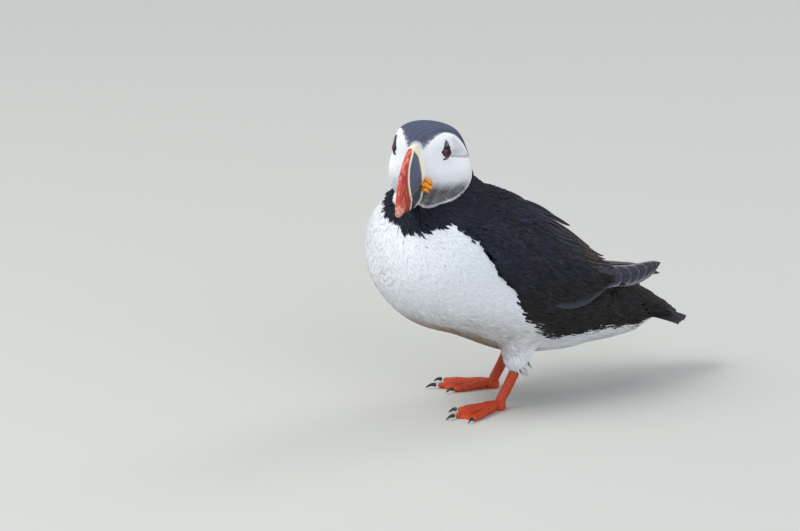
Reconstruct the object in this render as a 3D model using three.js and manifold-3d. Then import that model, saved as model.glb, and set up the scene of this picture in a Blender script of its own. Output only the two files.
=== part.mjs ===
// Atlantic puffin (Fratercula arctica), a life-size still model of a standing adult in summer dress.
// Millimetres. +X is the bird's left, +Y runs towards its tail and +Z is up. It stands on z = 0.

import * as THREE from 'three';
import { mergeVertices } from 'three/addons/utils/BufferGeometryUtils.js';
import Module from 'manifold-3d';

const wasm = await Module();
wasm.setup();

// ---------------------------------------------------------------- driving sizes

const GAP = 0.3; // clearance between neighbouring pieces

// Body: one egg-shaped form whose upright sections are ovals.
const BREAST_Y = -88; // foremost point of the breast
const BREAST_ROUND = 46; // length of the breast's round front
const RUMP_Y = 112; // the body closes here, inside the tail
const RUMP_ROUND = 14;
const BODY_RINGS = 28;
const BODY_SIDES = 28;
const bodyCentre = profile([[-88, 106], [-42, 99], [3, 84], [44, 68], [63, 61], [80, 53], [112, 44]]);
const bodyHalfHeight = profile([
  [-88, 48], [-42, 48.5], [3, 51.7], [44, 40.5], [63, 32], [80, 24], [112, 11],
]);
const bodyHalfWidth = profile([[-88, 46], [-42, 46], [3, 45], [44, 36], [63, 28], [80, 21], [112, 12]]);

// Head: stacked level ovals, turned to the bird's left on a short thick neck.
const HEAD_CENTRE = new THREE.Vector3(2, -48.5, 160);
const HEAD_TURN = THREE.MathUtils.degToRad(36);
const HEAD_BOTTOM = -29;
const HEAD_TOP = 27.4;
const HEAD_RINGS = 18;
const HEAD_SIDES = 28;
const headFront = profile([[-29, 25], [-10, 24.5], [9, 23.6], [17, 24], [27, 24]]);
const headBack = profile([[-29, 34], [-15, 28.5], [-3, 25], [9, 23.2], [17, 23], [27, 22]]);
const headHalfWidth = profile([
  [-29, 29], [-15, 28.5], [-3, 25.6], [9, 23.6], [17, 24.9], [22, 27.6], [27, 29],
]);
// The crown lies forward of the throat.
const headShift = profile([[2, 0], [10, -0.6], [17, -2.4], [23, -4.4], [28, -6.5]]);
const browSquareness = profile([[-26, 2.2], [-16, 2.35], [-6, 2.25], [4, 2.1], [17, 2.35], [27, 2.2]]);
const CROWN_SQUARENESS = 2.25;

// Neck: a cone of feather from inside the breast to inside the head.
const NECK_PATH = [[0, -34, 106], [0.5, -41, 128], [1.5, -46, 146], [2, -48, 160]];
const neckRadius = profile([[0, 40], [0.35, 33], [0.7, 22], [1, 18]]);
const NECK_RINGS = 9;
const NECK_SIDES = 24;

// Thin cuts where the colours meet, as (backward, upward) lines seen from the side. The first
// three are in head space, because the collar turns with the head.
const CROWN_LINE = [
  [-30, 6], [-22.6, 10.6], [-21.3, 14.5], [-19.4, 19], [-15, 22.2], [-11.2, 22.6],
  [-5, 20], [-0.2, 15.3], [6, 8.5], [9, 1], [10, -7], [10, -20],
];
const THROAT_LINE = [[-42, -25], [-24, -22], [-16, -19.4], [-6, -15], [2, -10.5], [9, -6], [40, -2]];
const COLLAR_LINE = [[-50, -46], [-36, -38], [-26, -31.5], [-16, -26.5], [-4, -23], [12, -19], [45, -10]];
const FLANK_LINE = [
  [-66, 142], [-53, 127], [-44, 119.5], [-33.5, 112], [-27, 98], [-12, 84],
  [-4, 66], [12, 49], [27, 41], [50, 44], [75, 42], [104, 38],
];
const TAIL_CUT_Y = 90;
const CUT_HALF_WIDTH = 80; // every cut reaches out past both sides of the body

// Bill, in head space: forward and upward distances from the head's centre.
const BILL_CORE = new THREE.Vector2(22, -3);
const BILL_OUTLINE = [
  [14, 13], [26.5, 16.2], [36, 11.8], [43.5, 3.5], [48.6, -7], [51, -17], [50.6, -23.4],
  [44, -22.9], [35, -22.9], [26, -22.3], [16, -19], [10, -8], [10, 5],
];
const BILL_REACH = 28; // from the core to the blade's edge
const BILL_SIDES = 26;
const BILL_HALF_WIDTH = 5.8;
const BILL_EDGE_HALF_WIDTH = 1.3;
const BILL_RINGS = [0.4, 0.7, 0.9, 1];
const PLATE_LINE = [
  [19, 22.5], [26.5, 16.6], [32.5, 11.2], [37.6, 4.5], [39.8, -3], [39, -11], [36, -18], [31, -27],
];
const BAND_WIDTH = 1.5; // cream band between the slate plate and the red blade
const GROOVES = [3.2, 5.8]; // distances of the blade's grooves from the slate plate
const GROOVE_WIDTH = 0.8;
const GROOVE_DEPTH = 0.5;
const RIM_DEPTH = 2; // the fleshy rim stands this far out of the face
const RIM_SWELL = 0.6;
const MOUTH_LINE = [[6, -9], [24, -9.6], [34, -11.2], [41, -14], [45.5, -19], [46.5, -28]];
const NOSTRIL = { forward: 31, up: -5.2, length: 7, height: 0.9, depth: 1.6 };

// Eyes, in head space for the left side.
const EYE_BACK = -15;
const EYE_UP = 12;
const EYE_GAZE = new THREE.Vector3(0.79, -0.54, 0.29).normalize();
const EYE_RADIUS = 3.8;
const EYE_SINK = 2.9; // the ball's centre lies this far under the skin
const LID_PROFILE = [[2.2, 3.5], [2.5, 3.8], [2.95, 3.65], [3.15, 3.1], [3, 2.85]];
const LID_STRETCH = 1.08; // the eye's opening is a little taller than wide
const LID_SEGMENTS = 16;
const SOCKET_RADIUS = 3.5;
const SOCKET_LENGTH = 8;
const SOCKET_FLOOR = 2.2; // the socket's wide part starts this far in front of the ball's centre
const BROW_PLATE = { foot: 3.7, bulge: 4.4, waist: 5, peak: 7.2, halfWidth: 2 }; // heights over the eye
const BAR_PLATE = { height: -4.7, back: 0.5, halfLength: 2.8, halfHeight: 0.9 };
const EYE_PLATE_HEIGHT = 1.5; // over the face
const EYE_PLATE_REACH = 12;
const CREASE_LINE = [[-10.5, 8.2], [-5, 6.6], [1, 5.2], [7, 4.2]];
const ROSETTE = {
  aside: 7.8, back: -23.8, up: -8.7, turn: 0.75, // radians
  halfThickness: 2.8, halfLength: 3.9, halfHeight: 4.7,
  folds: 6, foldDepth: 0.09,
};

// Legs: the right foot stands a little behind the left.
const LEGS = {
  left: { side: 1, ankle: [23, -11], toeTurn: 10 },
  right: { side: -1, ankle: [-22, 11], toeTurn: -28 },
};
const SHANK_REACH = 14; // the heel lies this far behind the ankle
const SHANK_TOP = 27;
const THIGH_ROOT = { aside: 20, behind: 16, up: 58 }; // behind the ankle
const THIGH_KNEE = { aside: 21.5, behind: 15.5, up: 40 };
const THIGH_END = { behind: 12.5, up: 22 };
const thighHalfWidth = (t) => 16 - 10.8 * t;
const thighHalfDepth = (t) => 20 - 14.6 * t;
const HEEL_PAD = { radius: 4.6, up: 2.4 };
const TOES = [
  { name: 'inner', splay: -24, length: 27, claw: 6 },
  { name: 'middle', splay: -2, length: 35, claw: 7.5 },
  { name: 'outer', splay: 20, length: 33, claw: 6 },
];
const TOE_RADIUS = 3;
const WEB_THICKNESS = 1.4;

// Folded wings: the edges of the left one from the shoulder to the tip.
const WING_LOWER_EDGE = [
  [43, -35, 113], [47, -20, 94], [45, 4, 72], [37, 36, 65],
  [30, 62, 70], [25, 86, 68], [20, 103, 71], [13, 114, 75],
];
const WING_UPPER_EDGE = [
  [37, -36, 123], [25, -18, 138], [20, 8, 131], [19, 38, 110],
  [20, 62, 90], [18, 86, 83], [15, 106, 80], [12, 115, 77],
];
const WING_SLUMP = { left: [0, 0, 0], right: [-2, 14, -14] }; // how far each tip has slipped
const WING_CLEARANCE = 1.2; // its skin lies this far over the body at least
const WING_SOFTNESS = 2; // roundness of the bend where the wing leaves the body
// Height of the flesh's middle over the wing's skin, along the wing.
const wingFlesh = profile([[0, 2], [0.18, 2], [0.34, 1], [0.46, 1.2], [0.56, 2.2], [1, 2.2]]);
const WING_ROOT_DEPTH = 6; // the flesh is sunk this far where it lies on the body
const WING_FREE_DEPTH = 1; // and this far where it stands clear of it
const WING_RINGS = 12;
const WING_COLUMNS = 6;
const WING_CORE_END = 0.63; // the flesh ends here, as a share of the wing's length

// Vanes: thin bent plates, each with its root sunk in the wing or the tail.
const VANE_THICKNESS = 0.55;
const VANE_RIDGE = 0.25; // the middle of a vane stands this far over its edges
const VANE_LAYER = 0.85; // height between vanes that lie on one another

// The longest primary first; each shorter one lies on the one before it.
const PRIMARY_TIPS = [1, 0.925, 0.862, 0.8, 0.74, 0.68];
const PRIMARY_ROOT = 0.56;
const PRIMARY_LIFT = { core: -1.5, tip: 0 }; // of the longest
const PRIMARY_POINT = [[0.1, 1], [0.05, 0.84], [0.018, 0.44]]; // distance from the tip, share of full width
const primaryReach = profile([[0.5, 0.6], [0.62, 0.68], [0.72, 0.76], [0.82, 0.9], [0.92, 1]]); // across

// Tiers of shorter wing feathers, from the hindmost to the foremost. `across` is the stretch
// of the wing they cover and `tips` the share their tips reach at its two ends.
const WING_TIERS = [
  { name: 'secondaries', count: 4, across: [0, 0.45], tips: [0.53, 0.6], length: 0.24 },
  { name: 'tertials', count: 3, across: [0.45, 0.9], tips: [0.62, 0.6], length: 0.24 },
  { name: 'greater coverts', count: 5, across: [0, 0.68], tips: [0.39, 0.45], length: 0.18 },
  { name: 'scapulars', count: 2, across: [0.68, 0.98], tips: [0.45, 0.42], length: 0.18 },
];
const TIER_LIFT = { root: -0.8, tip: 3 };
const TIER_TILT = 1.3; // a vane's lower edge stands over its upper edge
const TIER_OVERLAP = 1.24; // a vane's width over the distance to the next
const SHORT_VANE = [[-0.06, 0], [0, 0.6], [0.5, 1], [0.83, 0.8], [0.96, 0.4], [1, 0]]; // length, width

// Tail: a short closed fan of vanes on a fleshy base.
const TAIL_BASE = [[0, 84, 57], [0, 127, 40]];
const tailBaseHalfWidth = profile([[0, 11], [0.5, 14], [1, 12]]);
const tailBaseHalfThickness = profile([[0, 10], [0.5, 8.6], [0.85, 5], [1, 3]]);
const TAIL_PAIRS = 6;
const TAIL_VANE = {
  root: [0, 84, 49.3], fall: 0.25, start: 12, length: 46, halfWidth: 4.6, splay: 1.7, // degrees
};
const TAIL_SHORTER = 1.4; // each pair is this much shorter than the one over it
const TAIL_STACK_TOP = 2.2;
const TAIL_COVERT = {
  root: [0, 88, 69], fall: 0.66, start: 8, length: 30, halfWidth: 4.4, splay: 7, // degrees
};
const TAIL_COVERT_COUNT = 5;
const TAIL_COVERT_LIFT = { root: -1.6, tip: 1 };
const TAIL_COVERT_ROUND = 0.012; // drop of the outer coverts for each degree of splay squared

// ---------------------------------------------------------------- shape helpers

// A smooth function through (position, value) pairs, level past both ends.
function profile(pairs) {
  const last = pairs.length - 1;
  const slope = (index) => {
    const [x0, y0] = pairs[Math.max(0, index - 1)];
    const [x1, y1] = pairs[Math.min(last, index + 1)];
    return (y1 - y0) / (x1 - x0);
  };
  return (x) => {
    if (x <= pairs[0][0]) return pairs[0][1];
    if (x >= pairs[last][0]) return pairs[last][1];
    const index = pairs.findIndex((pair) => pair[0] > x) - 1;
    const [x0, y0] = pairs[index];
    const [x1, y1] = pairs[index + 1];
    const span = x1 - x0;
    const t = (x - x0) / span;
    const rest = 1 - t;
    const start = y0 * (1 + 2 * t) + slope(index) * span * t;
    const end = y1 * (1 + 2 * rest) - slope(index + 1) * span * rest;
    return start * rest * rest + end * t * t;
  };
}

// Evenly counted shares from 0 to 1, both left out, crowded towards the ends.
function endCrowdedShares(count) {
  return Array.from({ length: count - 1 }, (_, i) => 0.5 - 0.5 * Math.cos((Math.PI * (i + 1)) / count));
}

// A closed surface from one end point over rings of points to another. Columns from
// `turned` on are split along the other diagonal, so that a thin plate's faces match.
function loft(start, rings, end, turned = Infinity) {
  const sides = rings[0].length;
  const points = [start, ...rings.flat(), end];
  const at = (ring, side) => 1 + ring * sides + (side % sides);
  const index = [];
  for (let side = 0; side < sides; side += 1) {
    index.push(0, at(0, side + 1), at(0, side));
    for (let ring = 0; ring < rings.length - 1; ring += 1) {
      const corners = [at(ring, side), at(ring, side + 1), at(ring + 1, side + 1), at(ring + 1, side)];
      const [a, b, c, d] = side < turned ? corners : [...corners.slice(1), corners[0]];
      index.push(a, b, c, a, c, d);
    }
    index.push(points.length - 1, at(rings.length - 1, side), at(rings.length - 1, side + 1));
  }
  return facingOut(new THREE.BufferGeometry().setFromPoints(points).setIndex(index));
}

// Turns the faces round if they enclose a negative volume.
function facingOut(geometry) {
  const { position } = geometry.attributes;
  const index = geometry.index.array;
  const [a, b, c] = [new THREE.Vector3(), new THREE.Vector3(), new THREE.Vector3()];
  let volume = 0;
  for (let i = 0; i < index.length; i += 3) {
    a.fromBufferAttribute(position, index[i]);
    b.fromBufferAttribute(position, index[i + 1]);
    c.fromBufferAttribute(position, index[i + 2]);
    volume += a.dot(b.cross(c));
  }
  if (volume < 0) geometry.setIndex([...index].reverse());
  return geometry;
}

// A round or oval limb along a path; radii(t) gives [sideways, other] half sizes.
function limb(path, radii, rings, sides, sideways = new THREE.Vector3(1, 0, 0)) {
  const curve = new THREE.CatmullRomCurve3(path.map((point) => new THREE.Vector3(...point)));
  const ringAt = (t) => {
    const centre = curve.getPoint(t);
    const tangent = curve.getTangent(t);
    const across = sideways.clone().addScaledVector(tangent, -sideways.dot(tangent)).normalize();
    const other = tangent.clone().cross(across);
    const blunt = Math.sqrt(1 - Math.abs(2 * t - 1) ** 8);
    const [wide, deep] = radii(t).map((radius) => radius * blunt);
    return aroundCircle(sides, (angle) => centre.clone()
      .addScaledVector(across, wide * Math.cos(angle))
      .addScaledVector(other, deep * Math.sin(angle)));
  };
  return loft(curve.getPoint(0), endCrowdedShares(rings).map(ringAt), curve.getPoint(1));
}

function aroundCircle(count, pointAt) {
  return Array.from({ length: count }, (_, i) => pointAt((2 * Math.PI * i) / count));
}

// The same closed surface with each vertex moved out along its normal.
function grown(geometry, distance) {
  const result = geometry.clone();
  result.computeVertexNormals();
  const { position, normal } = result.attributes;
  for (let i = 0; i < position.count; i += 1) {
    position.setXYZ(
      i,
      position.getX(i) + normal.getX(i) * distance,
      position.getY(i) + normal.getY(i) * distance,
      position.getZ(i) + normal.getZ(i) * distance,
    );
  }
  return result;
}

function solidOf(geometry) {
  const bare = new THREE.BufferGeometry().setAttribute('position', geometry.attributes.position.clone());
  bare.setIndex(geometry.index);
  const merged = mergeVertices(bare, 1e-4);
  return new wasm.Manifold(new wasm.Mesh({
    numProp: 3,
    vertProperties: new Float32Array(merged.attributes.position.array),
    triVerts: new Uint32Array(merged.index.array),
  }));
}

// The separate bodies of a solid, the largest first.
function bodiesOf(solid) {
  return solid.decompose().sort((one, other) => other.volume() - one.volume());
}

function geometryOf(solid) {
  const mesh = bodiesOf(solid)[0].getMesh();
  const geometry = new THREE.BufferGeometry();
  geometry.setAttribute('position', new THREE.BufferAttribute(mesh.vertProperties, 3));
  geometry.setIndex(new THREE.BufferAttribute(mesh.triVerts, 1));
  geometry.computeVertexNormals();
  return geometry;
}

function joined(solids) {
  return solids.reduce((whole, solid) => whole.add(solid));
}

// An outline (backward, upward) in the upright middle plane, pushed through from side to side.
function sidewaysPrism(shape, halfWidth) {
  const prism = new THREE.ExtrudeGeometry(shape, { depth: 2 * halfWidth, bevelEnabled: false });
  prism.translate(0, 0, -halfWidth);
  const backward = new THREE.Vector3(0, 1, 0);
  const up = new THREE.Vector3(0, 0, 1);
  return prism.applyMatrix4(new THREE.Matrix4().makeBasis(backward, up, backward.clone().cross(up)));
}

// A band along a smooth line in the middle plane, moved to the line's left by an offset:
// a cut from side to side.
function sidewaysBand(line, halfWidth, offset = 0, thickness = GAP) {
  const curve = new THREE.SplineCurve(line.map((point) => new THREE.Vector2(...point)));
  const count = 2 * (line.length - 1);
  const edge = (distance) => Array.from({ length: count + 1 }, (_, i) => {
    const along = curve.getTangent(i / count);
    return curve.getPoint(i / count).add(new THREE.Vector2(-along.y, along.x).multiplyScalar(distance));
  });
  const [left, right] = [offset + thickness / 2, offset - thickness / 2].map(edge);
  return sidewaysPrism(new THREE.Shape([...left, ...right.reverse()]), halfWidth);
}

// ---------------------------------------------------------------- body, neck and head

function bodySection(y) {
  const front = Math.max(0, (BREAST_Y + BREAST_ROUND - y) / BREAST_ROUND);
  const rear = Math.max(0, (y - RUMP_Y + RUMP_ROUND) / RUMP_ROUND);
  const round = Math.sqrt(Math.max(0, 1 - front * front - rear * rear));
  return { centre: bodyCentre(y), high: bodyHalfHeight(y) * round, wide: bodyHalfWidth(y) * round };
}

function bodyForm() {
  const ringAt = (share) => {
    const y = THREE.MathUtils.lerp(BREAST_Y, RUMP_Y, share);
    const { centre, high, wide } = bodySection(y);
    return aroundCircle(BODY_SIDES, (angle) => new THREE.Vector3(
      wide * Math.sin(angle),
      y,
      centre + high * Math.cos(angle),
    ));
  };
  const start = new THREE.Vector3(0, BREAST_Y, bodyCentre(BREAST_Y));
  const end = new THREE.Vector3(0, RUMP_Y, bodyCentre(RUMP_Y));
  return loft(start, endCrowdedShares(BODY_RINGS).map(ringAt), end);
}

// Half width and reach of the head's level section: squarer at the brow than at the nape.
function headSection(up, behind) {
  const middle = (HEAD_TOP + HEAD_BOTTOM) / 2;
  const height = Math.abs(up - middle) / (HEAD_TOP - middle);
  const power = up > middle ? CROWN_SQUARENESS : 2;
  const round = (1 - height ** power) ** (1 / power);
  return {
    wide: headHalfWidth(up) * round,
    reach: (behind ? headBack(up) : headFront(up)) * round,
    power: behind ? 2 : browSquareness(up),
  };
}

function headForm() {
  const ringAt = (share) => {
    const up = THREE.MathUtils.lerp(HEAD_BOTTOM, HEAD_TOP, share);
    return aroundCircle(HEAD_SIDES, (angle) => {
      const { wide, reach, power } = headSection(up, Math.cos(angle) < 0);
      const bend = (value) => Math.sign(value) * Math.abs(value) ** (2 / power);
      const back = headShift(up) - reach * bend(Math.cos(angle));
      return new THREE.Vector3(wide * bend(Math.sin(angle)), back, up);
    });
  };
  const start = new THREE.Vector3(0, headShift(HEAD_BOTTOM), HEAD_BOTTOM);
  const end = new THREE.Vector3(0, headShift(HEAD_TOP), HEAD_TOP);
  return loft(start, endCrowdedShares(HEAD_RINGS).map(ringAt), end);
}

// Sideways distance from the head's middle plane to its left cheek.
function cheekAt(back, up) {
  const fromAxis = back - headShift(up);
  const { wide, reach, power } = headSection(up, fromAxis > 0);
  return wide * (1 - (Math.abs(fromAxis) / reach) ** power) ** (1 / power);
}

const headPlace = new THREE.Matrix4().makeRotationZ(HEAD_TURN).setPosition(HEAD_CENTRE);
const headPlaceBack = headPlace.clone().invert();

const bodyGeometry = bodyForm();
const headGeometry = headForm();
const neckGeometry = limb(NECK_PATH, (t) => [neckRadius(t), neckRadius(t)], NECK_RINGS, NECK_SIDES);
const headInPlace = headGeometry.clone().applyMatrix4(headPlace);

const fleshForms = [bodyGeometry, neckGeometry, headInPlace];
const wholeBird = joined(fleshForms.map(solidOf));
const wholeBirdGrown = joined(fleshForms.map((form) => solidOf(grown(form, GAP))));
const skinInHeadSpace = solidOf(geometryOf(wholeBirdGrown).applyMatrix4(headPlaceBack));

// The two parts of a solid on either side of a cut, the one that reaches furthest along
// an axis first.
function parted(solid, cut, axis = 2) {
  const reach = (body) => body.boundingBox().max[axis];
  return bodiesOf(solid.subtract(solidOf(cut))).slice(0, 2).sort((one, other) => reach(other) - reach(one));
}

// Parts the whole bird where a person would name its parts and where its colours meet.
function partedBird() {
  const turnedCut = (line) => sidewaysBand(line, CUT_HALF_WIDTH).applyMatrix4(headPlace);
  const across = 2 * CUT_HALF_WIDTH;
  const tailPlate = new THREE.BoxGeometry(across, GAP, across).translate(0, TAIL_CUT_Y, 0);
  const [skull, rest] = parted(wholeBird, turnedCut(THROAT_LINE));
  const [crown, face] = parted(skull, turnedCut(CROWN_LINE));
  const [neck, trunk] = parted(rest, turnedCut(COLLAR_LINE));
  const [rump, body] = parted(trunk, tailPlate, 1);
  const [back, torso] = parted(body, sidewaysBand(FLANK_LINE, CUT_HALF_WIDTH));
  return { crown, face, neck, rump, back, torso };
}

// ---------------------------------------------------------------- wings and tail

// The skin of a folded wing: share runs from shoulder to tip, across from the lower
// edge to the upper one, and lift is the height over that skin. It never dips into the body.
function wingSkin(side, slump) {
  const edge = (points) => new THREE.CatmullRomCurve3(points.map(([x, y, z], i) => {
    const late = (i / (points.length - 1)) ** 2;
    return new THREE.Vector3(side * (x + slump[0] * late), y + slump[1] * late, z + slump[2] * late);
  }));
  const lower = edge(WING_LOWER_EDGE);
  const upper = edge(WING_UPPER_EDGE);
  return (share, across, lift) => {
    const point = lower.getPoint(share).lerp(upper.getPoint(share), across);
    const { centre, high, wide } = bodySection(point.y);
    const outward = new THREE.Vector2(point.x, point.z - centre);
    const distance = outward.length();
    outward.normalize();
    const bodyRadius = wide > 0 ? 1 / Math.hypot(outward.x / wide, outward.y / high) : 0;
    const cleared = bodyRadius + WING_CLEARANCE;
    const skin = (distance + cleared + Math.hypot(distance - cleared, WING_SOFTNESS)) / 2;
    const radius = skin + lift;
    return {
      point: new THREE.Vector3(outward.x * radius, point.y, centre + outward.y * radius),
      overBody: skin - bodyRadius,
    };
  };
}

// The wing's own flesh and small coverts: sunk into the body where it lies on it,
// and a thin plate where it stands clear.
function wingForm(skin) {
  const columns = Array.from({ length: WING_COLUMNS }, (_, i) => i / (WING_COLUMNS - 1));
  const end = WING_CORE_END;
  const ringAt = (part) => {
    const share = part * end;
    const top = columns.map((across) => {
      const height = wingFlesh(share) * Math.sqrt(Math.sin(Math.PI * across));
      return skin(share, across, height).point;
    });
    const bottom = [...columns].reverse().map((across) => {
      const { overBody } = skin(share, across, 0);
      const clear = THREE.MathUtils.smoothstep(overBody, 2, 8);
      const depth = THREE.MathUtils.lerp(WING_ROOT_DEPTH, WING_FREE_DEPTH, clear);
      return skin(share, across, -depth).point;
    });
    return [...top, ...bottom];
  };
  const shares = endCrowdedShares(WING_RINGS);
  return loft(skin(0, 0.5, -1).point, shares.map(ringAt), skin(end, 0.5, -0.5).point, WING_COLUMNS);
}

// A bent plate through stations of { share, centre, half, lift }. place(share, across, lift)
// gives its points; tilt raises its edge of low `across` over the other.
function vaneForm(place, stations, tilt) {
  const row = ({ share, centre, half, lift }, depth) => [-1, 0, 1].map((edge) => {
    const bend = VANE_RIDGE * (1 - Math.abs(edge));
    return place(share, centre + edge * half, lift + bend - (edge * tilt) / 2 - depth);
  });
  const rings = stations.slice(1, -1).map((station) => [
    ...row(station, 0),
    ...row(station, VANE_THICKNESS).reverse(),
  ]);
  const endAt = ({ share, centre, lift }) => place(share, centre, lift + VANE_RIDGE - VANE_THICKNESS / 2);
  return loft(endAt(stations[0]), rings, endAt(stations[stations.length - 1]), 3);
}

// The long primaries: broad pointed vanes stacked on one another, the shortest on top.
function primaryForms(place) {
  return PRIMARY_TIPS.map((tip, layer) => {
    const liftAt = (share) => {
      const way = (share - WING_CORE_END) / (1 - WING_CORE_END);
      return THREE.MathUtils.lerp(PRIMARY_LIFT.core, PRIMARY_LIFT.tip, way) + layer * VANE_LAYER;
    };
    const station = (share, wide) => {
      const half = primaryReach(share) / 2;
      return { share, centre: half, half: half * wide, lift: liftAt(share) };
    };
    const point = PRIMARY_POINT.map(([before, wide]) => station(tip - before, wide));
    const root = [station(PRIMARY_ROOT - 0.02, 0), station(PRIMARY_ROOT, 0.8)];
    return vaneForm(place, [...root, ...point, station(tip, 0)], 0);
  });
}

function tierForms(place, { count, across, tips, length }) {
  return Array.from({ length: count }, (_, i) => {
    const centre = THREE.MathUtils.lerp(...across, (i + 0.5) / count);
    const widest = (TIER_OVERLAP * (across[1] - across[0])) / count / 2;
    const tip = THREE.MathUtils.lerp(...tips, (i + 0.5) / count);
    const station = ([t, wide]) => ({
      share: tip - length * (1 - t),
      centre,
      half: widest * wide,
      lift: THREE.MathUtils.lerp(TIER_LIFT.root, TIER_LIFT.tip, t),
    });
    return vaneForm(place, SHORT_VANE.map(station), TIER_TILT);
  });
}

function wingSolid(side, slump) {
  const skin = wingSkin(side, slump);
  const place = (share, across, lift) => skin(share, across, lift).point;
  const vanes = [...primaryForms(place), ...WING_TIERS.flatMap((tier) => tierForms(place, tier))];
  return joined([wingForm(skin), ...vanes].map(solidOf)).subtract(wholeBirdGrown);
}

// A place over a plane that falls towards the tail's tip: millimetres backward from its
// root along a feather splayed by some degrees, across that feather and over the plane.
function tailPlace({ root, fall }, splay) {
  const turn = THREE.MathUtils.degToRad(splay);
  const along = new THREE.Vector3(Math.sin(turn), Math.cos(turn), -fall * Math.cos(turn));
  const sideways = new THREE.Vector3(Math.cos(turn), -Math.sin(turn), 0);
  const over = new THREE.Vector3(0, fall, 1).normalize();
  return (distance, across, lift) => new THREE.Vector3(...root)
    .addScaledVector(along, distance)
    .addScaledVector(sideways, across)
    .addScaledVector(over, lift);
}

// The stiff tail feathers: pairs under one another, the outer ones shorter and lower.
function tailVaneForms() {
  const { start, length, halfWidth, splay } = TAIL_VANE;
  return Array.from({ length: 2 * TAIL_PAIRS }, (_, i) => {
    const side = i % 2 ? -1 : 1;
    const pair = (i - (i % 2)) / 2;
    const reach = length - TAIL_SHORTER * pair;
    const station = ([t, wide]) => ({
      share: start + reach * t,
      centre: side * halfWidth * 0.3,
      half: halfWidth * wide,
      lift: TAIL_STACK_TOP - VANE_LAYER * (pair + (i % 2) / 2),
    });
    const turn = side * splay * (pair + 0.6);
    return vaneForm(tailPlace(TAIL_VANE, turn), SHORT_VANE.map(station), 0);
  });
}

// The upper tail coverts: one tier over the roots of the tail feathers.
function tailCovertForms() {
  const { start, length, halfWidth, splay } = TAIL_COVERT;
  return Array.from({ length: TAIL_COVERT_COUNT }, (_, i) => {
    const turn = splay * (i - (TAIL_COVERT_COUNT - 1) / 2);
    const drop = TAIL_COVERT_ROUND * turn * turn;
    const station = ([t, wide]) => ({
      share: start + length * t,
      centre: 0,
      half: halfWidth * wide,
      lift: THREE.MathUtils.lerp(TAIL_COVERT_LIFT.root, TAIL_COVERT_LIFT.tip, t) - drop,
    });
    return vaneForm(tailPlace(TAIL_COVERT, turn), SHORT_VANE.map(station), TIER_TILT);
  });
}

function tailSolid(rump) {
  const base = limb(TAIL_BASE, (t) => [tailBaseHalfWidth(t), tailBaseHalfThickness(t)], 8, 14);
  const behindCut = new THREE.BoxGeometry(100, 100, 100).translate(0, TAIL_CUT_Y + GAP / 2 + 50, 50);
  const tail = joined([base, ...tailVaneForms(), ...tailCovertForms()].map(solidOf));
  return rump.add(tail.intersect(solidOf(behindCut)));
}

// ---------------------------------------------------------------- legs and feet

function thighForm({ side, ankle: [x, y] }) {
  const path = [
    [side * THIGH_ROOT.aside, y + THIGH_ROOT.behind, THIGH_ROOT.up],
    [side * THIGH_KNEE.aside, y + THIGH_KNEE.behind, THIGH_KNEE.up],
    [x, y + THIGH_END.behind, THIGH_END.up],
  ];
  return limb(path, (t) => [thighHalfWidth(t), thighHalfDepth(t)], 8, 16);
}

function shankForm({ ankle: [x, y] }) {
  const path = [[x, y + SHANK_REACH + 1.5, SHANK_TOP + 4], [x, y + SHANK_REACH * 0.45, 14], [x, y - 1, 3]];
  return limb(path, (t) => [2.6 + 0.5 * t ** 4, 3.9 - 0.5 * t], 8, 10);
}

function toeForm(side, { splay, length }) {
  const turn = THREE.MathUtils.degToRad(side * splay);
  const along = (distance, height) => [distance * Math.sin(turn), -distance * Math.cos(turn), height];
  const path = [along(-3, 4.2), along(length * 0.3, 3.2), along(length * 0.7, 2.4), along(length, 2)];
  const knuckle = (t) => 0.22 * Math.cos(2 * Math.PI * 3 * t);
  const radius = (t) => TOE_RADIUS - 0.9 * t + knuckle(t);
  const sideways = new THREE.Vector3(Math.cos(turn), Math.sin(turn), 0);
  return limb(path, (t) => [radius(t), radius(t)], 8, 8, sideways);
}

function webForm(side) {
  const shape = new THREE.Shape();
  const tip = ({ splay, length }, share) => {
    const turn = THREE.MathUtils.degToRad(side * splay);
    return new THREE.Vector2(Math.sin(turn), -Math.cos(turn)).multiplyScalar(length * share);
  };
  shape.moveTo(0, 3);
  const edge = TOES.map((toe) => tip(toe, 0.97));
  shape.lineTo(edge[0].x, edge[0].y);
  for (let i = 1; i < TOES.length; i += 1) {
    const middle = edge[i - 1].clone().add(edge[i]).multiplyScalar(0.43);
    shape.quadraticCurveTo(middle.x, middle.y, edge[i].x, edge[i].y);
  }
  shape.closePath();
  return new THREE.ExtrudeGeometry(shape, { depth: WEB_THICKNESS, bevelEnabled: false, curveSegments: 5 });
}

function footSolid(side) {
  const aboveFloor = new THREE.BoxGeometry(120, 120, 40).translate(0, 0, 20);
  const heelPad = new THREE.SphereGeometry(HEEL_PAD.radius, 12, 8).translate(0, 0, HEEL_PAD.up);
  const parts = [...TOES.map((toe) => toeForm(side, toe)), webForm(side), heelPad];
  return joined(parts.map(solidOf)).intersect(solidOf(aboveFloor));
}

function clawForm(side, { splay, length, claw }) {
  const turn = THREE.MathUtils.degToRad(side * splay);
  const along = (distance, height) => [distance * Math.sin(turn), -distance * Math.cos(turn), height];
  const path = [along(length + GAP, 2.3), along(length + claw * 0.5, 2.6), along(length + claw, 0.6)];
  const sideways = new THREE.Vector3(Math.cos(turn), Math.sin(turn), 0);
  return limb(path, (t) => [1.3 - 1.0 * t, 1.7 - 1.3 * t], 6, 6, sideways);
}

// ---------------------------------------------------------------- bill

const billOutline = new THREE.SplineCurve(
  [...BILL_OUTLINE, BILL_OUTLINE[0]].map((point) => new THREE.Vector2(...point)),
);

function billHalfWidth(share) {
  return BILL_EDGE_HALF_WIDTH + (BILL_HALF_WIDTH - BILL_EDGE_HALF_WIDTH) * (1 - share ** 1.8);
}

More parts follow.
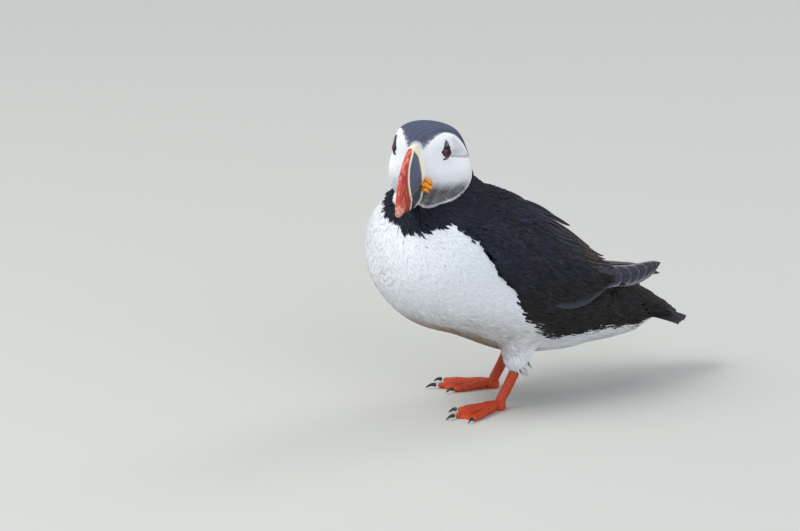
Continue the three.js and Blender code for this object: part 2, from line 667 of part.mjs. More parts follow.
// The bill as a flat lens: its left cheek out to the outline and back over the right cheek.
function billForm(swell) {
  const ringAt = (side) => (share) => Array.from({ length: BILL_SIDES }, (_, i) => {
    const rim = billOutline.getPoint(i / BILL_SIDES).sub(BILL_CORE);
    const reach = rim.setLength((rim.length() + swell) * share).add(BILL_CORE);
    return new THREE.Vector3(side * (billHalfWidth(share) + swell), -reach.x, reach.y);
  });
  const core = (side) => new THREE.Vector3(side * (billHalfWidth(0) + swell), -BILL_CORE.x, BILL_CORE.y);
  const rings = [...BILL_RINGS.map(ringAt(1)), ...[...BILL_RINGS].reverse().map(ringAt(-1))];
  return loft(core(1), rings, core(-1));
}

// A cut through the bill along a line of (forward, up) points, moved forward by a distance.
function billBand(line, distance, thickness) {
  const backward = line.map(([forward, up]) => [-forward, up]);
  return sidewaysBand(backward, 2 * BILL_HALF_WIDTH, -distance, thickness);
}

function nostrilCut(side) {
  const { forward, up, length, height, depth } = NOSTRIL;
  const slit = new THREE.SphereGeometry(1, 8, 6).scale(depth, length / 2, height / 2);
  const cheek = billHalfWidth((forward - BILL_CORE.x) / BILL_REACH);
  return solidOf(slit.translate(side * cheek, -forward, up));
}

// The bill's zones, each split along the line of the mouth into an upper and a lower part.
function billSolids() {
  const face = solidOf(grown(headGeometry, RIM_DEPTH + GAP));
  const bill = solidOf(billForm(0)).subtract(face).subtract(skinInHeadSpace);
  const rim = solidOf(billForm(RIM_SWELL))
    .intersect(solidOf(grown(headGeometry, RIM_DEPTH)))
    .subtract(skinInHeadSpace);
  const mandibles = (zone) => parted(zone, billBand(MOUTH_LINE, 0, GAP));
  const [plate, front] = parted(bill, billBand(PLATE_LINE, 0, GAP), 1);
  const [band, wholeBlade] = parted(front, billBand(PLATE_LINE, BAND_WIDTH, GAP), 1);
  const underSurface = solidOf(billForm(-GROOVE_DEPTH));
  const blade = GROOVES.reduce((solid, distance) => {
    const groove = solidOf(billBand(PLATE_LINE, distance, GROOVE_WIDTH)).subtract(underSurface);
    return solid.subtract(groove);
  }, wholeBlade);
  const [plateUpper, plateLower] = mandibles(plate);
  return {
    rim,
    plates: [plateUpper.subtract(nostrilCut(1)).subtract(nostrilCut(-1)), plateLower],
    bands: mandibles(band),
    blades: mandibles(blade),
  };
}

// ---------------------------------------------------------------- face

function sided(vector, side) {
  return new THREE.Vector3(side * vector.x, vector.y, vector.z);
}

// A frame at the eyeball's centre: its z looks out along the gaze and its y up the face.
function eyeFrame(side) {
  const gaze = sided(EYE_GAZE, side);
  const spot = new THREE.Vector3(cheekAt(EYE_BACK, EYE_UP), EYE_BACK, EYE_UP);
  const centre = sided(spot, side).addScaledVector(gaze, -EYE_SINK);
  const up = new THREE.Vector3(0, 0, 1).addScaledVector(gaze, -gaze.z).normalize();
  return new THREE.Matrix4().makeBasis(up.clone().cross(gaze), up, gaze).setPosition(centre);
}

function eyeForm(side) {
  return new THREE.SphereGeometry(EYE_RADIUS, 12, 8).applyMatrix4(eyeFrame(side));
}

function lidForm(side) {
  const points = [...LID_PROFILE, LID_PROFILE[0]].map(([x, y]) => new THREE.Vector2(x, y));
  const ring = new THREE.LatheGeometry(points, LID_SEGMENTS).rotateX(Math.PI / 2).scale(1, LID_STRETCH, 1);
  return facingOut(ring.applyMatrix4(eyeFrame(side)));
}

function socketCut(side) {
  const ball = new THREE.SphereGeometry(EYE_RADIUS + GAP, 12, 8);
  const cup = new THREE.CylinderGeometry(SOCKET_RADIUS, SOCKET_RADIUS, SOCKET_LENGTH, LID_SEGMENTS);
  cup.rotateX(Math.PI / 2).scale(1, LID_STRETCH, 1).translate(0, 0, SOCKET_FLOOR + SOCKET_LENGTH / 2);
  return joined([ball, cup].map((part) => solidOf(part.applyMatrix4(eyeFrame(side)))));
}

// Horny plates over and under the eye, drawn in the eye's frame and laid on the head.
function browShape(side) {
  const { foot, bulge, waist, peak, halfWidth } = BROW_PLATE;
  const end = side * halfWidth;
  const shape = new THREE.Shape();
  shape.moveTo(-end, foot);
  shape.quadraticCurveTo(0, bulge, end, foot);
  shape.quadraticCurveTo(0.45 * end, waist, 0, peak);
  shape.quadraticCurveTo(-0.45 * end, waist, -end, foot);
  return shape;
}

function barShape(side) {
  const shape = new THREE.Shape();
  const { height, back, halfLength, halfHeight } = BAR_PLATE;
  shape.absellipse(-side * back, height, halfLength, halfHeight, 0, 2 * Math.PI);
  return shape;
}

function eyePlateSolid(side, shape) {
  const settings = { depth: EYE_PLATE_REACH, bevelEnabled: false, curveSegments: 5 };
  const plate = new THREE.ExtrudeGeometry(shape, settings).applyMatrix4(eyeFrame(side));
  const slab = solidOf(grown(headGeometry, EYE_PLATE_HEIGHT));
  return solidOf(plate).intersect(slab).subtract(skinInHeadSpace);
}

// The shallow fold that runs back from the corner of the eye.
function creaseCut(side) {
  const path = CREASE_LINE.map(([back, up]) => [side * (cheekAt(back, up) + 0.2), back, up]);
  return solidOf(limb(path, (t) => [1.1 - 0.4 * t, 1.1 - 0.4 * t], 7, 6, new THREE.Vector3(0, 0, 1)));
}

// The wrinkled rosette at the corner of the mouth.
function rosetteSolid(side, bill) {
  const ball = new THREE.SphereGeometry(1, 16, 8);
  const { position } = ball.attributes;
  const point = new THREE.Vector3();
  for (let i = 0; i < position.count; i += 1) {
    point.fromBufferAttribute(position, i);
    const wave = Math.cos(ROSETTE.folds * Math.atan2(point.z, point.y));
    const fold = 1 + ROSETTE.foldDepth * wave * (1 - Math.abs(point.x));
    position.setXYZ(
      i,
      point.x * ROSETTE.halfThickness,
      point.y * ROSETTE.halfLength * fold,
      point.z * ROSETTE.halfHeight * fold,
    );
  }
  ball.rotateZ(-side * ROSETTE.turn).translate(side * ROSETTE.aside, ROSETTE.back, ROSETTE.up);
  return solidOf(ball).subtract(skinInHeadSpace).subtract(bill);
}

// ---------------------------------------------------------------- colours

const paint = (color, roughness) => new THREE.MeshStandardMaterial({ color, roughness, metalness: 0 });
const materials = {
  blackFeather: paint(0x1b1d28, 0.7),
  whiteFeather: paint(0xe9ecf2, 0.85),
  faceFeather: paint(0xd9dade, 0.85),
  slate: paint(0x4a4f60, 0.45),
  cream: paint(0xeedcc4, 0.45),
  red: paint(0xd0473c, 0.4),
  rosette: paint(0xe8971b, 0.55),
  lid: paint(0xb52a33, 0.5),
  eyePlate: paint(0x55585f, 0.5),
  eye: paint(0x17141a, 0.08),
  leg: paint(0xd0411f, 0.5),
  claw: paint(0x1c1a1c, 0.35),
};

// ---------------------------------------------------------------- assembly

function addPiece(parent, name, geometry, material) {
  const mesh = new THREE.Mesh(geometry, material);
  mesh.name = name;
  parent.add(mesh);
}

function addHead(bird, crown, face) {
  const group = new THREE.Group();
  group.applyMatrix4(headPlace);
  bird.add(group);

  const bill = billSolids();
  let head = solidOf(geometryOf(face).applyMatrix4(headPlaceBack));
  for (const side of [1, -1]) {
    head = head.subtract(socketCut(side)).subtract(creaseCut(side));
  }
  addPiece(group, 'crown', geometryOf(crown).applyMatrix4(headPlaceBack), materials.blackFeather);
  addPiece(group, 'head', geometryOf(head), materials.faceFeather);
  addPiece(group, 'bill_rim', geometryOf(bill.rim), materials.cream);
  ['upper', 'lower'].forEach((name, i) => {
    addPiece(group, `bill_plate_${name}`, geometryOf(bill.plates[i]), materials.slate);
    addPiece(group, `bill_band_${name}`, geometryOf(bill.bands[i]), materials.cream);
    addPiece(group, `bill_blade_${name}`, geometryOf(bill.blades[i]), materials.red);
  });
  const billGrown = solidOf(grown(billForm(RIM_SWELL), GAP));
  for (const [name, { side }] of Object.entries(LEGS)) {
    addPiece(group, `eye_${name}`, eyeForm(side), materials.eye);
    addPiece(group, `lids_${name}`, lidForm(side), materials.lid);
    for (const [place, shape] of [['upper', browShape(side)], ['lower', barShape(side)]]) {
      const plate = geometryOf(eyePlateSolid(side, shape));
      addPiece(group, `eye_plate_${place}_${name}`, plate, materials.eyePlate);
    }
    addPiece(group, `rosette_${name}`, geometryOf(rosetteSolid(side, billGrown)), materials.rosette);
  }
}

function addLeg(bird, name, leg) {
  const foot = new THREE.Group();
  foot.position.set(leg.ankle[0], leg.ankle[1], 0);
  foot.rotation.z = THREE.MathUtils.degToRad(leg.toeTurn);
  foot.updateMatrix();
  bird.add(foot);

  const footGeometry = geometryOf(footSolid(leg.side));
  const footGrown = solidOf(grown(footGeometry, GAP).applyMatrix4(foot.matrix));
  const thigh = thighForm(leg);
  const shank = solidOf(shankForm(leg)).subtract(solidOf(grown(thigh, GAP))).subtract(footGrown);
  const bareThigh = solidOf(thigh).subtract(wholeBirdGrown);
  addPiece(bird, `thigh_${name}`, geometryOf(bareThigh), materials.whiteFeather);
  addPiece(bird, `shank_${name}`, geometryOf(shank), materials.leg);
  addPiece(foot, `foot_${name}`, footGeometry, materials.leg);
  for (const toe of TOES) {
    const claw = solidOf(clawForm(leg.side, toe)).subtract(solidOf(grown(footGeometry, GAP)));
    addPiece(foot, `claw_${name}_${toe.name}`, geometryOf(claw), materials.claw);
  }
}

function buildPuffin() {
  const bird = new THREE.Group();
  const { crown, face, neck, rump, back, torso } = partedBird();
  addPiece(bird, 'torso', geometryOf(torso), materials.whiteFeather);
  addPiece(bird, 'back', geometryOf(back), materials.blackFeather);
  addPiece(bird, 'neck', geometryOf(neck), materials.blackFeather);
  addPiece(bird, 'tail', geometryOf(tailSolid(rump)), materials.blackFeather);
  addHead(bird, crown, face);
  for (const [name, leg] of Object.entries(LEGS)) {
    const wing = wingSolid(leg.side, WING_SLUMP[name]);
    addPiece(bird, `wing_${name}`, geometryOf(wing), materials.blackFeather);
    addLeg(bird, name, leg);
  }
  return bird;
}

// The group's origin lies on the floor under the middle of the bird.
function standOnOrigin(bird) {
  const box = new THREE.Box3().setFromObject(bird);
  const middle = box.getCenter(new THREE.Vector3());
  bird.position.set(-middle.x, -middle.y, -box.min.z);
}

const puffin = new THREE.Group();
puffin.name = 'puffin';
puffin.add(buildPuffin());
standOnOrigin(puffin.children[0]);

export default puffin;
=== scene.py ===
import math
from types import SimpleNamespace

import bpy
import numpy as np
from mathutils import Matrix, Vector
from mathutils.bvhtree import BVHTree


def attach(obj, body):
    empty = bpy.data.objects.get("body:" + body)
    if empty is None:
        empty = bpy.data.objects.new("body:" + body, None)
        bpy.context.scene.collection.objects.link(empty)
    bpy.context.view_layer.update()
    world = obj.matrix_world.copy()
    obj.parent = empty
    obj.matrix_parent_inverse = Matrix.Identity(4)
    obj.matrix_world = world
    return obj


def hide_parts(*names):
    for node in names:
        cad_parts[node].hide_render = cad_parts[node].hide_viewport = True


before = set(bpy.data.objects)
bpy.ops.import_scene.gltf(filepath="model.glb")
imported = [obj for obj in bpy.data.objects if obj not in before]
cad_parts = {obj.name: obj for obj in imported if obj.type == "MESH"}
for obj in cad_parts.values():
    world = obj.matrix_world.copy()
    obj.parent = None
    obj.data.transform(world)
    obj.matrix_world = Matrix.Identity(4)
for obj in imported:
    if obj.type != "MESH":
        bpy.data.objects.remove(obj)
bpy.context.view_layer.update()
rng = np.random.default_rng(7)

# The row frame's origin lies under the bird's middle, this far from the point between its ankles.
SHIFT = np.array([1.4293, -25.083, 0.0])
SIDES = {"left": 1, "right": -1}


def to_row(points):
    return (np.asarray(points, float) + SHIFT) / 1000


def from_row(points):
    return np.asarray(points, float) * 1000 - SHIFT


# ---------------------------------------------------------------- small maths


def unit(vectors):
    return vectors / np.maximum(np.linalg.norm(vectors, axis=-1, keepdims=True), 1e-12)


def dot(a, b):
    return np.sum(a * b, axis=-1, keepdims=True)


def smooth(value, low, high):
    """0 at low and 1 at high, with a soft step between; low may be the larger."""
    t = np.clip((value - low) / (high - low), 0, 1)
    return t * t * (3 - 2 * t)


def mix(a, b, share):
    return np.asarray(a) * (1 - share) + np.asarray(b) * share


def blend(colour, other, share):
    """Colours mixed with one share for each point."""
    return mix(colour, other, np.asarray(share)[:, None])


def profile(pairs):
    """A smooth function through (position, value) pairs, level past both ends."""
    xs, ys = np.array(pairs, float).T
    slopes = np.empty_like(ys)
    slopes[1:-1] = (ys[2:] - ys[:-2]) / (xs[2:] - xs[:-2])
    slopes[0] = (ys[1] - ys[0]) / (xs[1] - xs[0])
    slopes[-1] = (ys[-1] - ys[-2]) / (xs[-1] - xs[-2])

    def at(x):
        x = np.clip(x, xs[0], xs[-1])
        i = np.clip(np.searchsorted(xs, x, side="right") - 1, 0, len(xs) - 2)
        span = xs[i + 1] - xs[i]
        t = (x - xs[i]) / span
        r = 1 - t
        start = ys[i] * (1 + 2 * t) + slopes[i] * span * t
        end = ys[i + 1] * (1 + 2 * r) - slopes[i + 1] * span * r
        return start * r * r + end * t * t

    return at


def waves(points, scale, seed):
    """Smooth noise between about -1 and 1 at points, features about `scale` mm across."""
    r = np.random.default_rng(seed)
    total = np.zeros(len(points))
    for _ in range(7):
        direction = unit(r.normal(size=3))
        pitch = 2 * np.pi / (scale * r.uniform(0.8, 2.2))
        total += np.sin(points @ direction * pitch + r.uniform(0, 6.28))
    return total / 3.2


def hermite(p1, p2, m1, m2, w):
    """The cubic from p1 to p2 with slopes m1 and m2, at share w."""
    square = (-3 * p1 + 3 * p2 - 2 * m1 - m2) * w**2
    return p1 + m1 * w + square + (2 * p1 - 2 * p2 + m1 + m2) * w**3


def curve_points(points, t):
    """A centripetal Catmull-Rom curve through points, at shares t of its point count."""
    p = np.array(points, float)
    p = np.vstack([2 * p[0] - p[1], p, 2 * p[-1] - p[-2]])
    at = np.clip(np.asarray(t, float), 0, 1) * (len(p) - 3)
    i = np.minimum(at.astype(int), len(p) - 4)
    w = (at - i)[..., None]
    p0, p1, p2, p3 = p[i], p[i + 1], p[i + 2], p[i + 3]
    d0, d1, d2 = (
        np.maximum(np.linalg.norm(b - a, axis=-1, keepdims=True), 1e-6) ** 0.5
        for a, b in ((p0, p1), (p1, p2), (p2, p3))
    )
    m1 = ((p1 - p0) / d0 - (p2 - p0) / (d0 + d1) + (p2 - p1) / d1) * d1
    m2 = ((p2 - p1) / d1 - (p3 - p1) / (d1 + d2) + (p3 - p2) / d2) * d1
    return hermite(p1, p2, m1, m2, w)


# ---------------------------------------------------------------- frames of the bird

HEAD_CENTRE = np.array([2, -48.5, 160.0])
HEAD_TURN = math.radians(36)
turn_cos, turn_sin = math.cos(HEAD_TURN), math.sin(HEAD_TURN)
# Rows: the head's sideways, backward and upward axes.
HEAD_AXES = np.array([[turn_cos, turn_sin, 0], [-turn_sin, turn_cos, 0], [0, 0, 1]])


def to_head(points):
    """Points of the bird's frame in head space."""
    return (np.asarray(points) - HEAD_CENTRE) @ HEAD_AXES.T


def from_head(points):
    return np.asarray(points) @ HEAD_AXES + HEAD_CENTRE


# Stations down the body: place, middle height, half height and half width.
BODY_STATIONS = np.array([
    [-88, 106, 48, 46], [-42, 99, 48.5, 46], [3, 84, 51.7, 45], [44, 68, 40.5, 36],
    [63, 61, 32, 28], [80, 53, 24, 21], [112, 44, 11, 12],
])
body_centre, body_half_height, body_half_width = (
    profile(BODY_STATIONS[:, [0, column]]) for column in (1, 2, 3)
)


# ---------------------------------------------------------------- meshes


def mesh_from(name, places, faces):
    """A mesh of points in the row frame and faces that all have the same number of corners."""
    mesh = bpy.data.meshes.new(name)
    faces = np.asarray(faces, dtype=np.int32)
    count, corners = faces.shape
    mesh.vertices.add(len(places))
    mesh.vertices.foreach_set("co", np.asarray(places, dtype=np.float32).ravel())
    mesh.loops.add(count * corners)
    mesh.loops.foreach_set("vertex_index", faces.ravel())
    mesh.polygons.add(count)
    mesh.polygons.foreach_set("loop_start", np.arange(0, count * corners, corners, dtype=np.int32))
    mesh.update(calc_edges=True)
    return mesh


def add_object(name, mesh, material):
    """A new object of the scene that shows the mesh."""
    made = bpy.data.objects.new(name, mesh)
    bpy.context.scene.collection.objects.link(made)
    mesh.materials.append(material)
    return made


def make_piece(
    name, points, faces, material, colours=None, uv=None, smooth_faces=None, normals=None
):
    """A mesh object riding on the bird, its points in the bird's frame. smooth_faces marks the
    faces that share their shading, all of them if it is left out, and normals are the
    directions the vertices are shaded by."""
    mesh = mesh_from(name, to_row(points), faces)
    if smooth_faces is None:
        smooth_faces = np.ones(len(faces), dtype=bool)
    mesh.polygons.foreach_set("use_smooth", smooth_faces)
    if colours is not None:
        layer = mesh.color_attributes.new("Tint", "FLOAT_COLOR", "POINT")
        rgba = np.ones((len(points), 4), dtype=np.float32)
        rgba[:, :3] = np.clip(colours, 0, 1)
        layer.data.foreach_set("color", rgba.ravel())
    if uv is not None:
        layer = mesh.uv_layers.new(name="OFBake")
        corner_uv = np.asarray(uv, dtype=np.float32)[np.ravel(faces)]
        layer.data.foreach_set("uv", corner_uv.ravel())
    mesh.validate()
    if normals is not None:
        mesh.normals_split_custom_set_from_vertices(normals)
    piece = add_object(name, mesh, material)
    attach(piece, "root")
    return piece


def grid_faces(rows, columns, wrap=False):
    """Quads over a grid of points laid out row by row; wrap joins the last column to the first."""
    row = columns * np.arange(rows - 1)[:, None]
    column = np.arange(columns if wrap else columns - 1)[None, :]
    after = (column + 1) % columns
    corners = [row + column, row + after, row + columns + after, row + columns + column]
    return np.stack(corners, axis=-1).reshape(-1, 4)


def split_quads(quads):
    """Two triangles for each quad, all the first ones before all the second ones."""
    return np.vstack([quads[:, [0, 1, 2]], quads[:, [0, 2, 3]]])


def vertex_places(mesh):
    """A mesh's vertices in the bird's frame."""
    places = np.empty(len(mesh.vertices) * 3)
    mesh.vertices.foreach_get("co", places)
    return from_row(places.reshape(-1, 3))


def node_arrays(name):
    """Vertices (bird's frame) and triangles of a CAD node."""
    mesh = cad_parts[name].data
    mesh.calc_loop_triangles()
    triangles = np.empty(len(mesh.loop_triangles) * 3, dtype=np.int32)
    mesh.loop_triangles.foreach_get("vertices", triangles)
    return vertex_places(mesh), triangles.reshape(-1, 3)


# ---------------------------------------------------------------- markings

# Lines where the colours meet, as (backward, upward) points. The first three are in head space.
CROWN_LINE = [
    [-30, 2], [-24.4, 7.4], [-22.3, 12.8], [-19.8, 18.4], [-15, 22.2], [-11.2, 22.6],
    [-5, 20], [-0.2, 15.3], [6, 8.5], [9, 1], [10, -7], [10, -20],
]
THROAT_LINE = [[-42, -25], [-24, -22], [-16, -19.4], [-6, -15], [2, -10.5], [9, -6], [40, -2]]
THROAT_HANG = 2.6  # lower under the right cheek
CHEEK_HANG = 1.75  # and under the left one
COLLAR_LINE = [[-50, -46], [-36, -38], [-26, -31.5], [-16, -26.5], [-4, -23], [12, -19], [45, -10]]
CREASE_LINE = [[-13.8, 8.9], [-10.5, 8.0], [-5, 6.6], [1, 5.2], [7, 4.2]]
FLANK_LINE = [
    [-66, 142], [-53, 127], [-44, 119.5], [-33.5, 112], [-27, 98], [-12, 84], [-4, 66],
    [12, 49], [27, 41], [50, 44], [75, 42], [104, 38],
]


def side_of_line(line, points):
    """Signed distance of (backward, up) points from a smooth line, above zero on its left."""
    path = curve_points([[x, y, 0] for x, y in line], np.linspace(0, 1, 8 * len(line)))[:, :2]
    start, along = path[:-1], np.diff(path, axis=0)
    lengths = np.sum(along**2, axis=1)
    result = np.empty(len(points))
    for low in range(0, len(points), 20000):
        part = points[low : low + 20000, None, :]
        t = np.clip(np.sum((part - start) * along, axis=2) / lengths, 0, 1)
        gap = part - (start + t[..., None] * along)
        distance = np.hypot(gap[..., 0], gap[..., 1])
        nearest = np.argmin(distance, axis=1)
        rows = np.arange(len(nearest))
        near = gap[rows, nearest]
        left = along[nearest, 0] * near[:, 1] - along[nearest, 1] * near[:, 0]
        result[low : low + 20000] = np.sign(left) * distance[rows, nearest]
    return result


def srgb(code):
    """Linear colour of a hex code."""
    value = np.array([int(code[i : i + 2], 16) for i in (1, 3, 5)]) / 255
    return np.where(value <= 0.04045, value / 12.92, ((value + 0.055) / 1.055) ** 2.4)


CROWN = srgb("#51576c")
NAPE = srgb("#1b1e29")
COLLAR = srgb("#171924")
BACK = srgb("#1a1c28")
FLANK = srgb("#1f1b1d")
FACE = srgb("#f1f3f8")
FACE_GREY = srgb("#525056")
BREAST = srgb("#e1e5eb")
# brown low on the belly, also used for painted shade along the keel
BELLY_BROWN = srgb("#9c8a78")
UNDERTAIL = srgb("#e2e0dc")
CERE = srgb("#ead9c4")
CERE_CENTRE, CERE_SIZE = [0, -25.5, 14.6], [4.8, 5, 4.3]  # pale halo over the bill, head space


def crease_path():
    """Backward and upward places along the fold that runs back from the corner of the eye."""
    return curve_points([[b, u, 0] for b, u in CREASE_LINE], np.linspace(0, 1, 30))[:, :2].T


def crease_distance(local):
    """Distance in head space from the fold behind the eye, and the height over it."""
    back, up = crease_path()
    gaps = np.hypot(local[:, 1, None] - back, local[:, 2, None] - up)
    return gaps.min(axis=1), local[:, 2] - np.interp(local[:, 1], back, up)


def over_throat(local):
    """Signed distance above the throat line, which hangs lower under the cheeks."""
    hang = THROAT_HANG * smooth(-local[:, 0], 3, 16) + CHEEK_HANG * smooth(local[:, 0], -1, 8)
    return side_of_line(THROAT_LINE, local[:, 1:] + hang[:, None] * [0, 1])


def head_share(points):
    """1 on the head above the throat line, 0 below it."""
    local = to_head(points)
    return smooth(over_throat(local), -0.6, 0.6), local


def border_sides(points, ragged=1.0):
    """How far past the uneven borders of flank and collar points lie, above zero in the dark."""
    wobble, fine = waves(points, 7, 11) * ragged, waves(points, 1.5, 12) * ragged
    flank = side_of_line(FLANK_LINE, points[:, 1:]) + 1.1 * wobble + 0.8 * fine
    collar = side_of_line(COLLAR_LINE, to_head(points)[:, 1:]) + 0.5 * wobble + 0.5 * fine
    return flank, collar


def white_plumage(points, flank_side):
    """The white under parts: browner low down, with painted shade along the keel, greyer near the
    flank and duller at the rear.
    """
    x, y, z = points.T
    centre, high, wide = body_section(y)
    down = (centre - z) / np.maximum(high, 1)
    off_body = np.hypot(x / np.maximum(wide, 1), down) - 1
    on_belly = smooth(off_body, 0.1, 0.04) * smooth(y, 22, 5)
    streaks = waves(points * [1, 0.35, 1], 3.5, 13)
    low_brown = smooth(down, 0.35, 0.9) * smooth(y, -84, -50) * np.clip(0.45 + 0.35 * streaks, 0, 1)
    # painted shade along the keel under the belly
    keel_shade = smooth(down, 0.76, 0.95) * smooth(y, -78, -50) * smooth(np.abs(x), 27, 17)
    white = blend(BREAST, BELLY_BROWN, np.clip((0.6 * low_brown + 0.9 * keel_shade) * on_belly, 0, 1))
    grey_side = smooth(flank_side, -22, -3) * smooth(z, 116, 88)
    patches = np.clip(0.5 + 0.5 * waves(points, 5, 14), 0, 1)
    white = white * (1 - 0.22 * grey_side * patches)[:, None]
    return blend(white, UNDERTAIL, 0.6 * smooth(y, 45, 80))


def dark_plumage(points):
    """The black upper parts, browner low on the flank and in patches."""
    dark = blend(BACK, FLANK, smooth(points[:, 2], 100, 66))
    brown = np.clip(0.3 + 0.6 * waves(points, 12, 18), 0, 1) * smooth(points[:, 1], -40, -5)
    dark = blend(dark, FLANK * 1.15, 0.7 * brown)
    return dark * (1 + 0.22 * waves(points * [1, 0.6, 1], 6, 19))[:, None]


def face_colour(points, local, crown_side):
    """The white face, with dark grey low on the cheek inside a thin white border, and painted shade
    on the brow, above the fold behind the eye and along the fold.
    """
    ahead, up = -local[:, 1], local[:, 2]
    rise = over_throat(local)
    patch = smooth(rise, 0.2, 1.2) * smooth(up, -4, -13) * smooth(ahead, -9, 8)
    patch = patch * smooth(-local[:, 0], 18, 4)
    strokes = waves(points * [1, 1, 0.5], 0.9, 15)
    patch = np.clip(patch * (0.92 + 0.1 * waves(points, 2.6, 17) + 0.09 * strokes), 0, 1)
    veil = 0.2 * smooth(up, 1, -9) * smooth(rise, 0.8, 3.0)
    face = blend(FACE, FACE_GREY, np.maximum(0.95 * patch, veil))
    # painted shade on the brow and above the fold behind the eye
    brow_shade = smooth(up, 8.0, 10.5) * smooth(ahead, 13, 8) * smooth(crown_side, -1.2, -3.5)
    crease, above = crease_distance(local)
    shade_over_fold = smooth(above, 0, 0.6) * smooth(crease, 7, 0.5) * smooth(ahead, 16, 12)
    face = face * (1 - (0.22 * brow_shade + 0.26 * shade_over_fold))[:, None]
    # painted shade along the fold behind the eye
    return face * (1 - 0.6 * np.exp(-((crease / 0.5) ** 2)))[:, None]


def crown_colour(points, local, crown_side):
    """The slate crown with fine pale specks, blacker on the nape, pale round the bill's root."""
    back, up = local[:, 1], local[:, 2]
    nape = smooth(back, -5, 11) * smooth(up, 27, 15)
    speck = np.clip(waves(points, 1.0, 16) * 0.8, -0.3, 1) * (1 - nape)
    rim = 0.45 * smooth(crown_side, 3.0, 0.5) * smooth(back, -17, -8)
    crown = blend(CROWN, NAPE, np.maximum(nape, rim)) * (1 + 0.34 * speck)[:, None]
    root = np.linalg.norm((local - CERE_CENTRE) / CERE_SIZE, axis=1)
    crown = blend(crown, FACE, 0.6 * smooth(root, 1.35, 0.95))
    return blend(crown, CERE, 0.85 * smooth(root, 1.15, 0.5))


def marking(points, ragged=1.0, with_head=True, darker=0.0):
    """Colour of the plumage at points of the bird's frame. The dark of the flank and the
    collar reaches `darker` mm further than its border lines."""
    flank_side, collar_side = border_sides(points, ragged)
    flank_side, collar_side = flank_side + darker, collar_side + darker
    white, dark = white_plumage(points, flank_side), dark_plumage(points)
    body = blend(white, dark, smooth(flank_side, -0.7, 0.7))
    body = blend(body, COLLAR, smooth(collar_side, -0.6, 0.6))
    if not with_head:
        return body
    on_head, local = head_share(points)
    crown_side = side_of_line(CROWN_LINE, local[:, 1:]) + 0.12 * (waves(points, 1.5, 12) * ragged)
    face, crown = face_colour(points, local, crown_side), crown_colour(points, local, crown_side)
    return blend(body, blend(face, crown, smooth(crown_side, -0.3, 0.3)), on_head)


# ---------------------------------------------------------------- skin

HEAD_TOP, HEAD_BOTTOM = 27.4, -29
head_front = profile([[-29, 25], [-10, 24.5], [9, 23.6], [17, 24], [27, 24]])
head_back = profile([[-29, 34], [-15, 28.5], [-3, 25], [9, 23.2], [17, 23], [27, 22]])
head_half_width = profile(
    [[-29, 29], [-15, 28.5], [-3, 25.6], [9, 23.6], [17, 24.9], [22, 27.6], [27, 29]]
)
head_shift = profile([[2, 0], [10, -0.6], [17, -2.4], [23, -4.4], [28, -6.5]])
brow_squareness = profile([[-26, 2.2], [-16, 2.35], [-6, 2.25], [4, 2.1], [17, 2.35], [27, 2.2]])
NECK_PATH = [[0, -34, 106], [0.5, -41, 128], [1.5, -46, 146], [2, -48, 160]]
neck_radius = profile([[0, 40], [0.35, 33], [0.7, 22], [1, 18]])
LEGS = {"left": ([23, -11], 10), "right": ([-22, 11], -28)}  # ankle, turn of the toes
HEAD_DEPTH = 0.7  # the skin lies this far inside the solids on the head
BODY_DEPTH = 2.2  # and this far on the body
BODY_FRONT, BODY_REAR = -88, 112
FRONT_ROUND, REAR_ROUND = 46, 14  # lengths of the body's rounded ends
FORM_SIDES, BODY_RINGS, HEAD_RINGS = 64, 60, 44
LIMB_SIDES, LIMB_RINGS = 32, 28
FOLD_DEPTH, FOLD_WIDTH = 1.0, 0.9  # of the crease behind the eye
CHEEK_PUFF = 0.5
VOXEL, RELAX_ROUNDS = 1.1, 12  # of the skin's one surface
tail_wide = profile([[0, 11], [0.5, 14], [1, 12]])
tail_deep = profile([[0, 10], [0.5, 8.6], [0.85, 5], [1, 3]])


def ring_shares(count):
    """Shares of a length that crowd together at both ends."""
    return 0.5 - 0.5 * np.cos(np.pi * np.arange(1, count) / count)


def closed_form(rings):
    """Vertices and triangles of a closed form through rings of points, its ends capped."""
    rings = np.asarray(rings)
    rows, columns = rings.shape[:2]
    points = np.vstack([rings.reshape(-1, 3), rings[0].mean(0)[None], rings[-1].mean(0)[None]])
    column = np.arange(columns)
    after = (column + 1) % columns
    first, last, base = rows * columns, rows * columns + 1, (rows - 1) * columns
    triangles = [
        split_quads(grid_faces(rows, columns, wrap=True)),
        np.stack([np.full(columns, first), after, column], axis=1),
        np.stack([np.full(columns, last), base + column, base + after], axis=1),
    ]
    return points, np.vstack(triangles)


def body_section(y):
    """The body's middle height and its half height and half width at y."""
    front = np.maximum(0, (BODY_FRONT + FRONT_ROUND - y) / FRONT_ROUND)
    rear = np.maximum(0, (y - BODY_REAR + REAR_ROUND) / REAR_ROUND)
    ring = np.sqrt(np.maximum(0, 1 - front * front - rear * rear))
    return body_centre(y), body_half_height(y) * ring, body_half_width(y) * ring


def head_section(up, behind):
    """The head's half width, its reach to the front or behind, and how square it is, at up."""
    middle = (HEAD_TOP + HEAD_BOTTOM) / 2
    height = np.abs(up - middle) / (HEAD_TOP - middle)
    power = np.where(up > middle, 2.25, 2.0)
    ring = np.maximum(0, 1 - height**power) ** (1 / power)
    reach = np.where(behind, head_back(up), head_front(up)) * ring
    return head_half_width(up) * ring, reach, np.where(behind, 2.0, brow_squareness(up))


def cheek_at(back, up):
    """Sideways distance from the head's middle plane to its left cheek."""
    from_axis = back - head_shift(up)
    wide, reach, power = head_section(up, from_axis > 0)
    return wide * (1 - (np.abs(from_axis) / reach) ** power) ** (1 / power)


